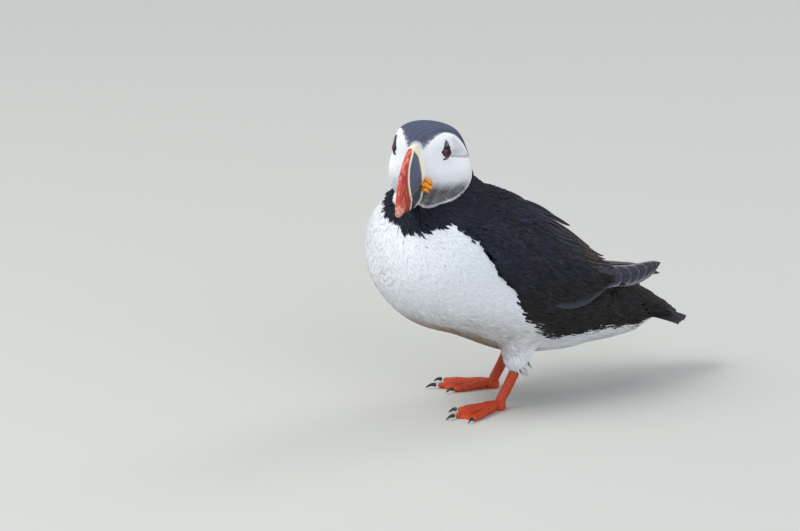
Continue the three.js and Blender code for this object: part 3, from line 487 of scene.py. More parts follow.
def body_form(depth):
    """The body from breast to tail, its surface pulled in by depth."""
    turns = 2 * np.pi * np.arange(FORM_SIDES) / FORM_SIDES
    rings = []
    for y in BODY_FRONT + depth + (BODY_REAR - BODY_FRONT - 2 * depth) * ring_shares(BODY_RINGS):
        centre, high, wide = body_section(y)
        high, wide = max(high - depth, 0.5), max(wide - depth, 0.5)
        x, z = wide * np.sin(turns), centre + high * np.cos(turns)
        rings.append(np.stack([x, np.full(FORM_SIDES, y), z], axis=1))
    return closed_form(rings)


def head_form(depth):
    """The head, its surface pulled in by depth."""
    turns = 2 * np.pi * np.arange(FORM_SIDES) / FORM_SIDES
    rings = []
    for share in ring_shares(HEAD_RINGS):
        up = HEAD_BOTTOM + (HEAD_TOP - HEAD_BOTTOM) * share
        wide, reach, power = head_section(up, np.cos(turns) < 0)
        across = np.sign(np.sin(turns)) * np.abs(np.sin(turns)) ** (2 / power)
        along = np.sign(np.cos(turns)) * np.abs(np.cos(turns)) ** (2 / power)
        y = head_shift(up) - reach * along
        centre = np.array([0, head_shift(up), up])
        away = np.stack([wide * across, y, np.full(FORM_SIDES, up)], axis=1) - centre
        far = np.linalg.norm(away, axis=1, keepdims=True)
        ring = centre + away * np.maximum(far - depth, 0.3) / np.maximum(far, 1e-6)
        ring[:, 2] -= depth * (share * 2 - 1)
        rings.append(ring)
    points, triangles = closed_form(rings)
    return from_head(points), triangles


def limb_form(path, radii):
    """A round or oval limb along a path; radii(t) gives its sideways and other half sizes."""
    shares = ring_shares(LIMB_RINGS)
    centres = curve_points(path, shares)
    tangents = unit(curve_points(path, shares + 0.01) - curve_points(path, shares - 0.01))
    sideways = np.array([1.0, 0, 0])
    across = unit(sideways - tangents * dot(sideways, tangents))
    other = np.cross(tangents, across)
    turns = 2 * np.pi * np.arange(LIMB_SIDES) / LIMB_SIDES
    blunt = np.sqrt(1 - np.abs(2 * shares - 1) ** 8)
    rings = []
    for i, t in enumerate(shares):
        wide, deep = (radius * blunt[i] for radius in radii(t))
        ring = centres[i] + np.outer(np.cos(turns), across[i]) * wide
        rings.append(ring + np.outer(np.sin(turns), other[i]) * deep)
    return closed_form(rings)


# Folded wings: the edges of the left one from the shoulder to the tip.
WING_LOWER_EDGE = [
    [43, -35, 113], [47, -20, 94], [45, 4, 72], [37, 36, 65],
    [30, 62, 70], [25, 86, 68], [20, 103, 71], [13, 114, 75],
]
WING_UPPER_EDGE = [
    [37, -36, 123], [25, -18, 138], [20, 8, 131], [19, 38, 110],
    [20, 62, 90], [18, 86, 83], [15, 106, 80], [12, 115, 77],
]
WING_SLUMP = {"left": [0, 0, 0], "right": [-2, 14, -14]}
wing_flesh = profile([[0, 2], [0.18, 2], [0.34, 1], [0.46, 1.2], [0.56, 2.2], [1, 2.2]])
WING_CLEARANCE = 1.2  # the folded wing's underside stays this far off the body
WING_UNDERSIDE = -4.6  # height of the flesh's hidden side
COVERT_DEPTH = 1.6  # the flesh lies this far under the small coverts
FLESH_REACH = 0.62  # share of the wing that has flesh under its feathers


def wing_place(side_name, share, across, lift):
    """Points of a folded wing: share runs from shoulder to tip, across from its lower edge
    to its upper one and lift is the height over its skin, which never dips into the body."""
    side, slump = SIDES[side_name], WING_SLUMP[side_name]
    share, across, lift = np.broadcast_arrays(
        *(np.asarray(value, float) for value in (share, across, lift))
    )

    def edge(points):
        late = (np.arange(len(points)) / (len(points) - 1))[:, None] ** 2
        moved = np.array(points, float) + np.array(slump) * late
        return curve_points(moved * [side, 1, 1], share)

    lower, upper = edge(WING_LOWER_EDGE), edge(WING_UPPER_EDGE)
    point = lower + (upper - lower) * across[..., None]
    centre, high, wide = body_section(point[..., 1])
    outward = np.stack([point[..., 0], point[..., 2] - centre], axis=-1)
    distance = np.linalg.norm(outward, axis=-1)
    outward = outward / distance[..., None]
    safe_wide, safe_high = np.maximum(wide, 1e-3), np.maximum(high, 1e-3)
    body_radius = 1 / np.hypot(outward[..., 0] / safe_wide, outward[..., 1] / safe_high)
    cleared = np.where(wide > 0, body_radius, 0) + WING_CLEARANCE
    skin = (distance + cleared + np.hypot(distance - cleared, 2)) / 2
    radius = skin + lift
    x, z = outward[..., 0] * radius, centre + outward[..., 1] * radius
    return np.stack([x, point[..., 1], z], axis=-1)


def wing_core(side_name):
    """The wing's flesh as a closed form, sunk by the depth of its small coverts."""
    columns = np.linspace(0, 1, 24)
    arch = np.sin(np.pi * columns)
    rings = []
    for share in FLESH_REACH * ring_shares(40):
        sunk = (1 - smooth(share, 0.0, 0.13)) * 2.2 + (1 - arch) ** 2 * 1.7
        height = wing_flesh(share) * arch**0.8 - COVERT_DEPTH - sunk
        top = wing_place(side_name, share, columns, height)
        bottom = wing_place(side_name, share, columns[::-1], WING_UNDERSIDE)
        rings.append(np.vstack([top, bottom]))
    return closed_form(rings)


def thigh_form(side_name):
    """The thigh's flesh, from inside the body down to the shank's top."""
    side = SIDES[side_name]
    (x, y), _ = LEGS[side_name]
    path = [[side * 20, y + 16, 58], [side * 21.5, y + 14.5, 42], [x, y + 10.5, 25.5]]
    return limb_form(path, lambda t: (14 - 10.3 * t, 18 - 13.6 * t))


def remeshed(forms, voxel, rounds):
    """One smooth closed surface round several closed forms: vertices (bird's frame), quads."""
    starts = np.cumsum([0] + [len(points) for points, _ in forms])
    points = np.vstack([points for points, _ in forms])
    triangles = np.vstack([faces + start for (_, faces), start in zip(forms, starts)])
    source = bpy.data.objects.new("forms", mesh_from("forms", to_row(points), triangles))
    bpy.context.scene.collection.objects.link(source)
    remesh = source.modifiers.new("remesh", "REMESH")
    remesh.mode = "VOXEL"
    remesh.voxel_size = voxel / 1000
    relax = source.modifiers.new("relax", "SMOOTH")
    relax.factor = 0.5
    relax.iterations = rounds
    result = source.evaluated_get(bpy.context.evaluated_depsgraph_get()).to_mesh()
    places = vertex_places(result)
    faces = np.array([tuple(p.vertices) for p in result.polygons if len(p.vertices) == 4])
    bpy.data.objects.remove(source)
    return places, faces


def skin_arrays():
    """The one skin round body, head, neck, tail, thighs and wings: vertices and quads."""
    neck = limb_form(NECK_PATH, lambda t: (neck_radius(t) - 1.5,) * 2)
    tail = limb_form([[0, 84, 57], [0, 127, 40]], lambda t: (tail_wide(t) - 1, tail_deep(t) - 1))
    forms = [body_form(BODY_DEPTH), head_form(HEAD_DEPTH), neck, tail]
    forms += [thigh_form(name) for name in SIDES] + [wing_core(name) for name in SIDES]
    points, faces = remeshed(forms, VOXEL, RELAX_ROUNDS)
    local = to_head(points)
    back, up = crease_path()
    for side in SIDES.values():
        fold = np.stack([side * cheek_at(back, up), back, up], axis=1)
        near = np.linalg.norm(local[:, None, :] - fold[None], axis=2).min(axis=1)
        inward = np.array([-side, 0, 0])
        local += inward * (FOLD_DEPTH * np.exp(-((near / FOLD_WIDTH) ** 2)))[:, None]
        puff = np.exp(-(((local[:, 2] - 1) / 6) ** 2 + ((local[:, 1] + 6) / 9) ** 2))
        on_side = smooth(side * local[:, 0], 10, 20)
        local -= inward * (CHEEK_PUFF * puff * on_side)[:, None]
    return from_head(local), faces


# ---------------------------------------------------------------- measures of bill and eyes

EYE_BACK, EYE_UP, EYE_RADIUS, EYE_SINK = -15, 12, 3.8, 2.9
EYE_BARE = 3.3  # radius of the eye's place without feathers
ROSETTE_CENTRE = np.array([7.8, -23.8, -8.7])  # of the left one, in head space
ROSETTE_SIZE = np.array([2.75, 3.8, 4.55])
ROSETTE_BARE = np.array([3.2, 3.4, 4.2])  # its place without feathers
ROSETTE_TURN = 0.75


def eye_gaze(side):
    return unit(np.array([side * 0.79, -0.54, 0.29]))


def eye_centre(side):
    spot = np.array([side * cheek_at(np.array(EYE_BACK), np.array(EYE_UP)), EYE_BACK, EYE_UP])
    return spot - eye_gaze(side) * EYE_SINK


def eye_axes(side):
    """Rows: sideways in the face, up the face, out along the gaze; in head space."""
    gaze = eye_gaze(side)
    up = unit(np.array([0, 0, 1.0]) - gaze * gaze[2])
    return np.stack([np.cross(up, gaze), up, gaze])


BILL_OUTLINE = [
    [14, 13], [26.5, 16.2], [36, 11.8], [43.5, 3.5], [48.6, -7], [51, -17], [50.6, -23.4],
    [44, -22.9], [35, -22.9], [26, -22.3], [16, -19], [10, -8], [10, 5],
]
BILL_CORE = np.array([22, -3.0])
BILL_MIDDLE, BILL_EDGE = 5.8, 1.3  # half widths at its core and near its edge


def half_width(share):
    """The bill's half width at a share of the way from its core to its outline."""
    return BILL_EDGE + (BILL_MIDDLE - BILL_EDGE) * (1 - share**1.8)


def closed_spline(points, t):
    """A smooth curve through points and back to the first, at shares t."""
    p = np.array([*points, points[0]], float)
    at = np.clip(np.asarray(t, float), 0, 1) * (len(p) - 1)
    i = np.minimum(at.astype(int), len(p) - 2)
    w = (at - i)[..., None]
    p0, p1 = p[np.maximum(i - 1, 0)], p[i]
    p2, p3 = p[np.minimum(i + 1, len(p) - 1)], p[np.minimum(i + 2, len(p) - 1)]
    return hermite(p1, p2, (p2 - p0) / 2, (p3 - p1) / 2, w)


rim_points = closed_spline(BILL_OUTLINE, np.arange(400) / 400) - BILL_CORE
rim_points = rim_points[np.argsort(np.arctan2(rim_points[:, 1], rim_points[:, 0]))]
rim_turn = np.arctan2(rim_points[:, 1], rim_points[:, 0])
rim_reach = np.linalg.norm(rim_points, axis=1)


def bill_reach(ahead, up):
    """How far points lie outside the bill's outline, in mm, and their share of its reach."""
    x, y = ahead - BILL_CORE[0], up - BILL_CORE[1]
    turn = np.arctan2(y, x)
    edge = np.interp(turn, rim_turn, rim_reach, period=2 * np.pi)
    reach = np.hypot(x, y)
    return reach - edge, reach / edge


# ---------------------------------------------------------------- plumage

PATCH_SIZE = 0.003  # of a small feather on the unwrap
HEAD_UNWRAP = 140  # height over which the unwrap goes round the head instead of the body


def coat_uv(roots, count_per):
    """A patch of the skin's unwrap round each root; count_per vertices each."""
    angle = np.arctan2(roots[:, 0] - 0.3, roots[:, 2] - body_centre(roots[:, 1]) + 0.3)
    local = to_head(roots)
    on_head = roots[:, 2] > HEAD_UNWRAP
    angle = np.where(on_head, np.arctan2(local[:, 0], -local[:, 1]), angle)
    along = np.where(on_head, 0.62 + (roots[:, 2] - HEAD_UNWRAP) / 140, (roots[:, 1] + 95) / 380)
    centre = np.stack([0.01 + 0.98 * along, 0.01 + 0.98 * (angle / (2 * np.pi) + 0.5)], axis=1)
    ring = np.linspace(0, 2 * np.pi, count_per, endpoint=False)
    patch = PATCH_SIZE / 2 * np.stack([np.cos(ring), np.sin(ring)], axis=1)
    return (centre[:, None, :] + patch[None]).reshape(-1, 2)


def surface_tree(points, faces):
    """A search tree over a surface, for its nearest points and for rays."""
    return BVHTree.FromPolygons([tuple(p) for p in points], faces.tolist())


def nearest_on(tree, points):
    """Nearest surface points and their outward normals."""
    places, normals = np.empty_like(points), np.empty_like(points)
    for i, point in enumerate(points):
        place, normal, _, _ = tree.find_nearest(Vector(point))
        places[i] = place
        normals[i] = normal
    return places, normals


def scatter(points, faces, per_area):
    """Random places over a surface: per_area(centres) gives how many in a square millimetre."""
    corners = points[faces]
    centres = corners.mean(axis=1)
    area = 0.5 * np.linalg.norm(
        np.cross(corners[:, 2] - corners[:, 0], corners[:, 3] - corners[:, 1]), axis=1
    )
    counts = rng.poisson(area * per_area(centres))
    index = np.repeat(np.arange(len(faces)), counts)
    u, v = rng.random((2, len(index), 1))
    c = corners[index]
    return (c[:, 0] * (1 - u) + c[:, 1] * u) * (1 - v) + (c[:, 3] * (1 - u) + c[:, 2] * u) * v


SHADING_BEND = 0.05  # how far a small feather's shading turns towards its edges
BODY_SHADING = 0.7  # weight of the body's own roundness in it
ROOT_DEPTH = 0.3  # of a small feather's root in the skin


def body_outward(points):
    """The way out of the body's long axis, out and forward on the thighs and level on the head."""
    x, y, z = points.T
    slope = (body_centre(y + 2) - body_centre(y - 2)) / 4
    high, wide = np.maximum(body_half_height(y), 8), np.maximum(body_half_width(y), 8)
    up = (z - body_centre(y)) / high**2
    front = np.maximum(0, BODY_FRONT + FRONT_ROUND - y) / FRONT_ROUND**2
    out = unit(np.stack([x / wide**2, -front - slope * up, up], axis=1))
    thigh = np.sign(x)[:, None] * [0.85, 0, 0] + [0, -0.45, 0.25]
    return blend(out, thigh, smooth(z, 50, 38)) * smooth(z, 142, 122)[:, None]


# A small feather: rings along it of (share of length, share of width, share of height).
LONG_RINGS = [(0.0, 0.55, 0.0), (0.36, 1.0, 0.78), (0.76, 0.78, 1.0)]
SHORT_RINGS = [(0.0, 0.6, 0.0), (0.5, 1.0, 0.85)]


def feather_faces(count, rings):
    """Triangles of closed three-sided feathers (left edge, ridge, right edge, and a tip), and
    which of them share their shading: not the undersides, so that a feather looks flat."""
    faces, smooth_faces = [(0, 2, 1)], [False]
    for r in range(len(rings) - 1):
        for s in range(3):
            a, b = 3 * r + s, 3 * r + (s + 1) % 3
            faces += [(a, b, b + 3), (a, b + 3, a + 3)]
            smooth_faces += [s < 2] * 2
    last, tip = 3 * (len(rings) - 1), 3 * len(rings)
    faces += [(last + s, last + (s + 1) % 3, tip) for s in range(3)]
    smooth_faces += [True, True, False]
    template = np.array(faces)[None] + (tip + 1) * np.arange(count)[:, None, None]
    return template.reshape(-1, 3), np.tile(smooth_faces, count)


def feathers(tree, roots, toward, length, width, height, thick, ruffle, splay, rings):
    """Small feathers that lie along the skin. Length, width, height and ruffle are arrays with
    one value each: height is the tip's over the skin, in mm, and ruffle how unevenly feathers
    catch the light. splay is the spread of their turns. Returns the vertices, the share along
    the feather of each and the directions they are shaded by."""
    count = len(roots)
    length, width, height, ruffle = (
        np.asarray(value, float).reshape(-1, 1) for value in (length, width, height, ruffle)
    )
    _, normal = nearest_on(tree, roots)
    way = unit(toward - normal * dot(toward, normal))
    side = np.cross(way, normal)
    turn = (rng.normal(size=(count, 1)) * splay).clip(-0.9, 0.9)
    way = unit(way * np.cos(turn) + side * np.sin(turn))
    side = np.cross(way, normal)
    curl = 0.06 * rng.normal(size=(count, 1))
    lean = ruffle * (rng.normal(size=(count, 1)) * side + 0.7 * rng.normal(size=(count, 1)) * way)
    lean = lean + BODY_SHADING * body_outward(roots)
    vertices = np.empty((count, 3 * len(rings) + 1, 3))
    shading = np.empty_like(vertices)
    share_of = np.append(np.repeat([ring[0] for ring in rings], 3), 1.0)
    middle, middle_normal, heading = roots - normal * ROOT_DEPTH, normal, way
    for r, (t, wide, rise) in enumerate([*rings, (1.0, 0.0, 1.0)]):
        if t > 0:
            ahead = roots + way * length * t + side * (curl * length * t * t)
            on_skin, middle_normal = nearest_on(tree, ahead)
            turned = dot(middle_normal, normal) < 0.35
            on_skin = np.where(turned, ahead, on_skin)
            middle_normal = np.where(turned, normal, unit(middle_normal + 0.5 * normal))
            previous, middle = middle, on_skin + middle_normal * (height * rise)
            heading = unit(middle - previous)
        if t == 1:
            vertices[:, -1] = middle
            shading[:, -1] = unit(middle_normal + lean)
            continue
        across = unit(np.cross(heading, middle_normal))
        for column in (-1, 0, 1):
            ridge = middle_normal * thick * (1 - 0.5 * t) if column == 0 else 0
            vertices[:, 3 * r + column + 1] = middle + across * width * wide / 2 * column + ridge
            bend = (SHADING_BEND + 1.5 * ruffle) * column * across
            shading[:, 3 * r + column + 1] = unit(middle_normal + lean + bend)
    return vertices, share_of, shading


MOST_TRIANGLES = 190000  # in one piece
FLANK_SHIFT = -1.0  # how far the flank's dark feathers reach past its border line, or stop short
COLLAR_SHIFT = -1.0  # and the collar's past its own
OWN_SIDE = 12.0  # a feather keeps the colour of its own side this far over a border


def coat_pieces(name, vertices, shading, colours, roots, material, rings):
    """Joined meshes of small feathers, each of a size the export takes."""
    triangles_each = 6 * len(rings) - 2
    step = MOST_TRIANGLES // triangles_each
    order = np.argsort(roots[:, 1], kind="stable")
    for part, low in enumerate(range(0, len(vertices), step)):
        pick = order[low : low + step]
        faces, smooth_faces = feather_faces(len(pick), rings)
        piece = make_piece(
            f"{name}_{part + 1}", vertices[pick].reshape(-1, 3), faces, material,
            colours[pick].reshape(-1, 3), coat_uv(roots[pick], vertices.shape[1]), smooth_faces,
            normals=shading[pick].reshape(-1, 3),
        )


def tinted(base, vertices, share_of, vary, shade_root, tip_gain=0.0):
    """Colours of feathers: one base colour each, or the marking at each vertex if base is
    None, with painted shade at the root, painted light at the tip and varied a little."""
    if base is None:
        base = marking(vertices.reshape(-1, 3), 0.3).reshape(vertices.shape)
    else:
        base = base[:, None, :]
    gain = 1 + vary * rng.normal(size=(len(vertices), 1, 1))
    # painted shade at the feather's root and painted light at its tip
    along = shade_root + (1 - shade_root) * np.minimum(1, share_of * 1.6) + tip_gain * share_of**3
    return base * gain * along[None, :, None]


# ---------------------------------------------------------------- materials


def bare_material(name):
    material = bpy.data.materials.new(name)
    material.use_nodes = True
    return material, material.node_tree.nodes, material.node_tree.links


def set_inputs(node, values):
    for name, value in values.items():
        node.inputs[name].default_value = value


def feather_material(name, roughness, sheen=0.0, fleck=0.12, fleck_scale=900):
    """Plumage: the mesh's own tint with fine flecks of light and shade."""
    material, nodes, links = bare_material(name)
    shader = nodes["Principled BSDF"]
    tint = nodes.new("ShaderNodeAttribute")
    tint.attribute_name = "Tint"
    noise = nodes.new("ShaderNodeTexNoise")
    set_inputs(noise, {"Scale": fleck_scale, "Detail": 3})
    remap = nodes.new("ShaderNodeMapRange")
    set_inputs(remap, {"From Min": 0.3, "From Max": 0.7, "To Min": 1 - fleck, "To Max": 1 + fleck})
    scale = nodes.new("ShaderNodeVectorMath")
    scale.operation = "SCALE"
    links.new(noise.outputs["Fac"], remap.inputs["Value"])
    links.new(tint.outputs["Color"], scale.inputs[0])
    links.new(remap.outputs["Result"], scale.inputs["Scale"])
    links.new(scale.outputs["Vector"], shader.inputs["Base Color"])
    set_inputs(shader, {"Roughness": roughness, "Specular IOR Level": 0.22})
    set_inputs(shader, {"Sheen Weight": sheen, "Sheen Roughness": 0.5})
    return material


def horn_material(name, roughness, fleck=0.1, fleck_scale=500, bump=0.15, coat=0.0, specular=0.5):
    """Horn and bare skin: the mesh's own tint, mottled and finely rough."""
    material = feather_material(name, roughness, 0.0, fleck, fleck_scale)
    nodes, links = material.node_tree.nodes, material.node_tree.links
    shader = nodes["Principled BSDF"]
    grain = nodes.new("ShaderNodeTexNoise")
    set_inputs(grain, {"Scale": 1400, "Detail": 4})
    relief = nodes.new("ShaderNodeBump")
    set_inputs(relief, {"Strength": bump, "Distance": 0.0002})
    links.new(grain.outputs["Fac"], relief.inputs["Height"])
    links.new(relief.outputs["Normal"], shader.inputs["Normal"])
    set_inputs(shader, {"Specular IOR Level": specular})
    set_inputs(shader, {"Coat Weight": coat, "Coat Roughness": 0.2})
    return material


PLUMAGE = feather_material("plumage", 0.8)
DOWN = feather_material("down", 0.9, 0.1, 0.02)
FACE_FEATHER = feather_material("face_plumage", 0.85, 0.0, 0.04)
VANE = feather_material("vane", 0.65, 0.0, 0.22, 1100)
SKIN = feather_material("skin", 0.9)
HORN = horn_material("horn", 0.42)
FLESH = horn_material("flesh", 0.5, 0.12, 700, 0.3)
LEG_SKIN = horn_material("leg_skin", 0.5, 0.14, 350, 0.4)
CLAW = horn_material("claw", 0.3, 0.1, 600, 0.1)
EYE = horn_material("eye_gloss", 0.06, 0.05, 300, 0.0, 0.25, 0.4)


# ---------------------------------------------------------------- skin and coat, put together

skin_points, skin_faces = skin_arrays()
skin_bvh = surface_tree(skin_points, skin_faces)
skin_colours = marking(skin_points) * 0.96
skin = make_piece("skin", skin_points, skin_faces, SKIN, skin_colours)
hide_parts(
    "torso", "back", "neck", "crown", "head", "tail",
    "thigh_left", "thigh_right", "wing_left", "wing_right",
)

# places over the folded wings, to tell them from the body
WING_SHARES = np.linspace(0, 0.64, 65)
WING_ACROSS = np.linspace(0, 1, 21)


def wing_tree(name):
    points = wing_place(name, WING_SHARES[:, None], WING_ACROSS[None, :], 0.0)
    return surface_tree(points.reshape(-1, 3), grid_faces(len(WING_SHARES), len(WING_ACROSS)))


WING_TREES = {name: wing_tree(name) for name in SIDES}


def wing_position(points):
    """For each point: the share along the nearer wing, the share across it, and how far off."""
    share, across, far = np.zeros(len(points)), np.zeros(len(points)), np.full(len(points), 99.0)
    per_row = len(WING_ACROSS) - 1
    for name, side in SIDES.items():
        for i in np.nonzero(points[:, 0] * side > 0)[0]:
            _, _, face, far[i] = WING_TREES[name].find_nearest(Vector(points[i]))
            share[i], across[i] = WING_SHARES[face // per_row], WING_ACROSS[face % per_row]
    return share, across, far


def bill_root_clear(local):
    """Where the head's coat may grow: not under the bill's rim, the rosettes or the eyes."""
    ahead, up = -local[:, 1], local[:, 2]
    outline, share = bill_reach(ahead, up)
    wide = half_width(np.clip(share, 0, 1))
    clear = ~((outline < 0.3) & (ahead > 8) & (np.abs(local[:, 0]) < wide + 0.3))
    for side in SIDES.values():
        gap = local - eye_centre(side)
        away = gap - dot(gap, eye_gaze(side)) * eye_gaze(side)
        clear &= np.linalg.norm(away, axis=1) > EYE_BARE
        rosette = (local - ROSETTE_CENTRE * [side, 1, 1]) / ROSETTE_BARE
        clear &= np.linalg.norm(rosette, axis=1) > 1
    return clear


# ---------------------------------------------------------------- the small feathers

WHITE_DENSITY, BLACK_DENSITY, HEAD_DENSITY = 2.75, 1.36, 4.5  # feathers in a square millimetre
SHANK_TOP, THIGH_TOP = 20.5, 36  # heights that white and black feathers don't hang below
NO_LIMIT = 99
BILL_ROOT = np.array([0, -32.0, -2.0])  # in head space, where the head's feathers part
HEAD_FALL = np.array([0, 0, 6])  # how much they lean down


def away_from_bill(local):
    """On the head the feathers lie back from the bill's root, and a little down."""
    return local - BILL_ROOT - HEAD_FALL


def lie_of_coat(points):
    """Which way the feathers point, in the bird's frame."""
    x, y, z = points.T
    head_way = unit(away_from_bill(to_head(points))) @ HEAD_AXES
    body_way = blend([0, 0.86, -0.5], [0, 0.95, -0.3], smooth(z, 92, 60))
    body_way = blend(body_way, [0, 0.5, -0.86], smooth(y, -50, -80))
    body_way = blend(body_way, [0, 1, -0.3], smooth(y, 70, 95))
    thigh_way = np.sign(x)[:, None] * [0.12, 0, 0] + [0, 0.42, -0.9]
    body_way = blend(body_way, thigh_way, smooth(z, 46, 34) * smooth(y, 45, 30))
    return blend(unit(body_way), head_way, smooth(z - 0.25 * (y + 48), 128, 146))


def feather_density(centres):
    on_head, local = head_share(centres)
    flank = side_of_line(FLANK_LINE, centres[:, 1:])
    collar = side_of_line(COLLAR_LINE, local[:, 1:])
    dark = np.maximum(smooth(flank, -1, 1), smooth(collar, -1, 1))
    return mix(mix(WHITE_DENSITY, BLACK_DENSITY, dark), HEAD_DENSITY, on_head)


def feather_roots():
    """Places of the small feathers, clear of the bill, the eyes, the large vanes and the tail,
    and for each how far it covers the wing's lower edge and how far it hangs there in a tuft."""
    roots = scatter(skin_points, skin_faces, feather_density)
    share, across, far = wing_position(roots)
    low_wing = smooth(across, 0.6, 0.25)
    inside = 1 - smooth(across, 0.14, 0.06)
    on_wing = (far < 4.5) & (share > 0.43 + 0.17 * low_wing * inside)
    over_tail = smooth(roots[:, 2] - body_centre(roots[:, 1]), -6, -2)
    ragged = 3 * rng.normal(size=len(roots)).clip(-0.8, 2)
    on_tail = roots[:, 1] + ragged > 123 - 9 * over_tail
    keep = bill_root_clear(to_head(roots)) & ~on_wing & ~on_tail
    edge_cover = (far < 6) * low_wing * inside * smooth(share, 0.2, 0.36)
    tufted = (far < 9) * (across < 0.04) * smooth(share, 0.2, 0.3) * smooth(share, 0.6, 0.5)
    return roots[keep], edge_cover[keep], tufted[keep]


def dark_feathers(roots, seen, head):
    """Which feathers are dark, by the borders where they are seen, and how far each stands
    past the flank's border."""
    x, y, z = roots.T
    flank, collar = border_sides(seen)
    collar += COLLAR_SHIFT + 0.6 * rng.normal(size=len(roots)) + 2.6 * smooth(y, -74, -62)
    collar += 2.0 * smooth(-x, 14, 24) * smooth(y, -40, -60)
    near_front = smooth(x, 12, 20) * smooth(x, 36, 30)
    collar += 2.2 * near_front * smooth(y, -62, -70)
    collar += 1.4 * smooth(x, 28, 36) * smooth(y, -62, -52)
    flank += FLANK_SHIFT + 2.6 * smooth(y, 2, 22)
    flank -= 8 * smooth(z, 48, 42) * smooth(y, 40, 32)
    flank += (0.5 + 0.8 * smooth(z, 110, 84)) * rng.normal(size=len(roots))
    on_thigh = (z < 45) & (y < 45)
    return ~head & ~on_thigh & ((flank > 0) | (collar > 0)), flank


def grow_group(
    coat, name, mask, length, width, height, ruffle, thick, splay, rings, material, slot_name,
    crisp=False, **tint
):
    """The small feathers of one kind, on the roots that mask picks. A crisp one takes its
    colours from the places of its vertices, any other one colour from where it is seen."""
    picked = coat.roots[mask]
    uneven = 1 + 0.09 * rng.normal(size=len(picked)).clip(-2, 2)
    vertices, share_of, shading = feathers(
        skin_bvh, picked, coat.toward[mask], length[mask] * coat.jitter[mask], width[mask],
        height[mask] * uneven, thick, ruffle[mask], splay, rings,
    )
    own_side = np.where(coat.dark[mask], OWN_SIDE, -OWN_SIDE)
    base = None if crisp else marking(coat.seen[mask], with_head=False, darker=own_side)
    colours = tinted(base, vertices, share_of, **tint)
    coat_pieces(name, vertices, shading, colours, picked, material, rings)


def grow_white(coat, mask, flank):
    """Short white feathers, longer and shaggier low down, that end over the shank's top."""
    _, y, z = coat.roots.T
    shaggy, thigh, rear = smooth(z, 80, 55), smooth(z, 48, 36), smooth(y, 88, 112)
    near_flank = smooth(np.abs(flank), 16, 3) * smooth(z, 108, 92)
    thigh_end = np.where(thigh > 0, np.maximum(z - SHANK_TOP, 2.5) / 0.9, NO_LIMIT)
    grow_group(
        coat, "coat_white", mask,
        length=np.minimum(7.5 + 4 * shaggy + 1.0 * thigh, thigh_end),
        width=0.9 - 0.1 * shaggy,
        height=0.85 + 1.15 * shaggy + 0.4 * thigh - 0.5 * rear,
        ruffle=0.03 + 0.07 * shaggy + 0.12 * near_flank + 0.1 * thigh,
        thick=0.05, splay=0.07, rings=SHORT_RINGS, material=DOWN, slot_name="white_feather",
        vary=0.02, shade_root=0.95,
    )


def grow_black(coat, mask, edge_cover, tufted):
    """Longer black feathers, sleek on the neck and long over the wing's lower edge."""
    x, y, z = coat.roots.T
    over_middle = z - body_centre(y)
    upper, rear = smooth(z, 86, 112), smooth(y, 88, 112)
    collar_front = smooth(z, 104, 120) * smooth(y, -30, -50)
    neck = np.maximum(smooth(z, 118, 140), collar_front)
    far_collar = smooth(-x, 4, 20) * smooth(z, 112, 122) * smooth(z, 146, 136) * smooth(y, -30, -50)
    mantle = smooth(y, -34, -20) * smooth(y, 22, 6) * smooth(over_middle, 30, 40)
    over_thigh = np.where(y < 45, (z - THIGH_TOP) / 0.9, NO_LIMIT)
    grow_group(
        coat, "coat_black", mask,
        length=np.minimum(9.5 - 3.5 * neck - 1.0 * upper + 3 * edge_cover + 4 * tufted, over_thigh),
        width=1.36 + 0.7 * upper - 0.9 * neck - 0.3 * edge_cover,
        height=2.0 - 0.7 * neck - 0.8 * rear + 1.9 * edge_cover + 0.9 * far_collar
        + 1.3 * mantle + 0.8 * tufted,
        ruffle=0.3 - 0.18 * neck,
        thick=0.08, splay=0.11, rings=LONG_RINGS, material=PLUMAGE, slot_name="black_feather",
        # the black feathers' painted shade at the root and painted light at the tip
        vary=0.3, tip_gain=0.5, shade_root=0.7,
    )


def grow_face(coat, mask):
    """Very short, fine feathers on the head, shortest round the bill."""
    near_bill = smooth(-to_head(coat.roots)[:, 1], 10, 20)
    grow_group(
        coat, "coat_head", mask,
        length=2.5 - 1.2 * near_bill,
        width=0.62 - 0.17 * near_bill,
        height=0.6 - 0.2 * near_bill,
        ruffle=np.full(len(near_bill), 0.04),
        thick=0.03, splay=0.12, rings=SHORT_RINGS, material=FACE_FEATHER, slot_name="face_feather",
        crisp=True, vary=0.012, shade_root=0.99,
    )


def grow_small_feathers():
    """The whole coat of small feathers, in its white, black and face groups."""
    roots, edge_cover, tufted = feather_roots()
    on_head, _ = head_share(roots)
    toward = lie_of_coat(roots)
    # a body feather takes its colour from the place that its outer half covers
    reach = (1 - on_head) * mix(1.5, 3.2, smooth(roots[:, 2], 136, 120))
    seen = roots + unit(toward) * reach[:, None]
    head = on_head > 0.5
    dark, flank = dark_feathers(roots, seen, head)
    jitter = 1 + 0.15 * rng.normal(size=len(roots)).clip(-2, 2)
    coat = SimpleNamespace(roots=roots, toward=toward, seen=seen, dark=dark, jitter=jitter)
    grow_white(coat, ~head & ~dark, flank)
    grow_black(coat, dark, edge_cover, tufted)
    grow_face(coat, head)


grow_small_feathers()


# ---------------------------------------------------------------- large feathers of wing and tail

# Rings of a large vane: (share of its length, share of its full width).
VANE_RINGS = [
    (0, 0.35), (0.1, 0.62), (0.25, 0.86), (0.4, 0.97), (0.55, 1), (0.68, 0.98),
    (0.79, 0.9), (0.87, 0.76), (0.93, 0.58), (0.97, 0.38), (0.99, 0.2),
]
VANE_COLUMNS = np.array([-1, -0.93, -0.8, -0.4, -0.07, 0, 0.07, 0.4, 0.8, 0.93, 1])
SHAFT_WIDTH = 0.05  # share of the vane's half width


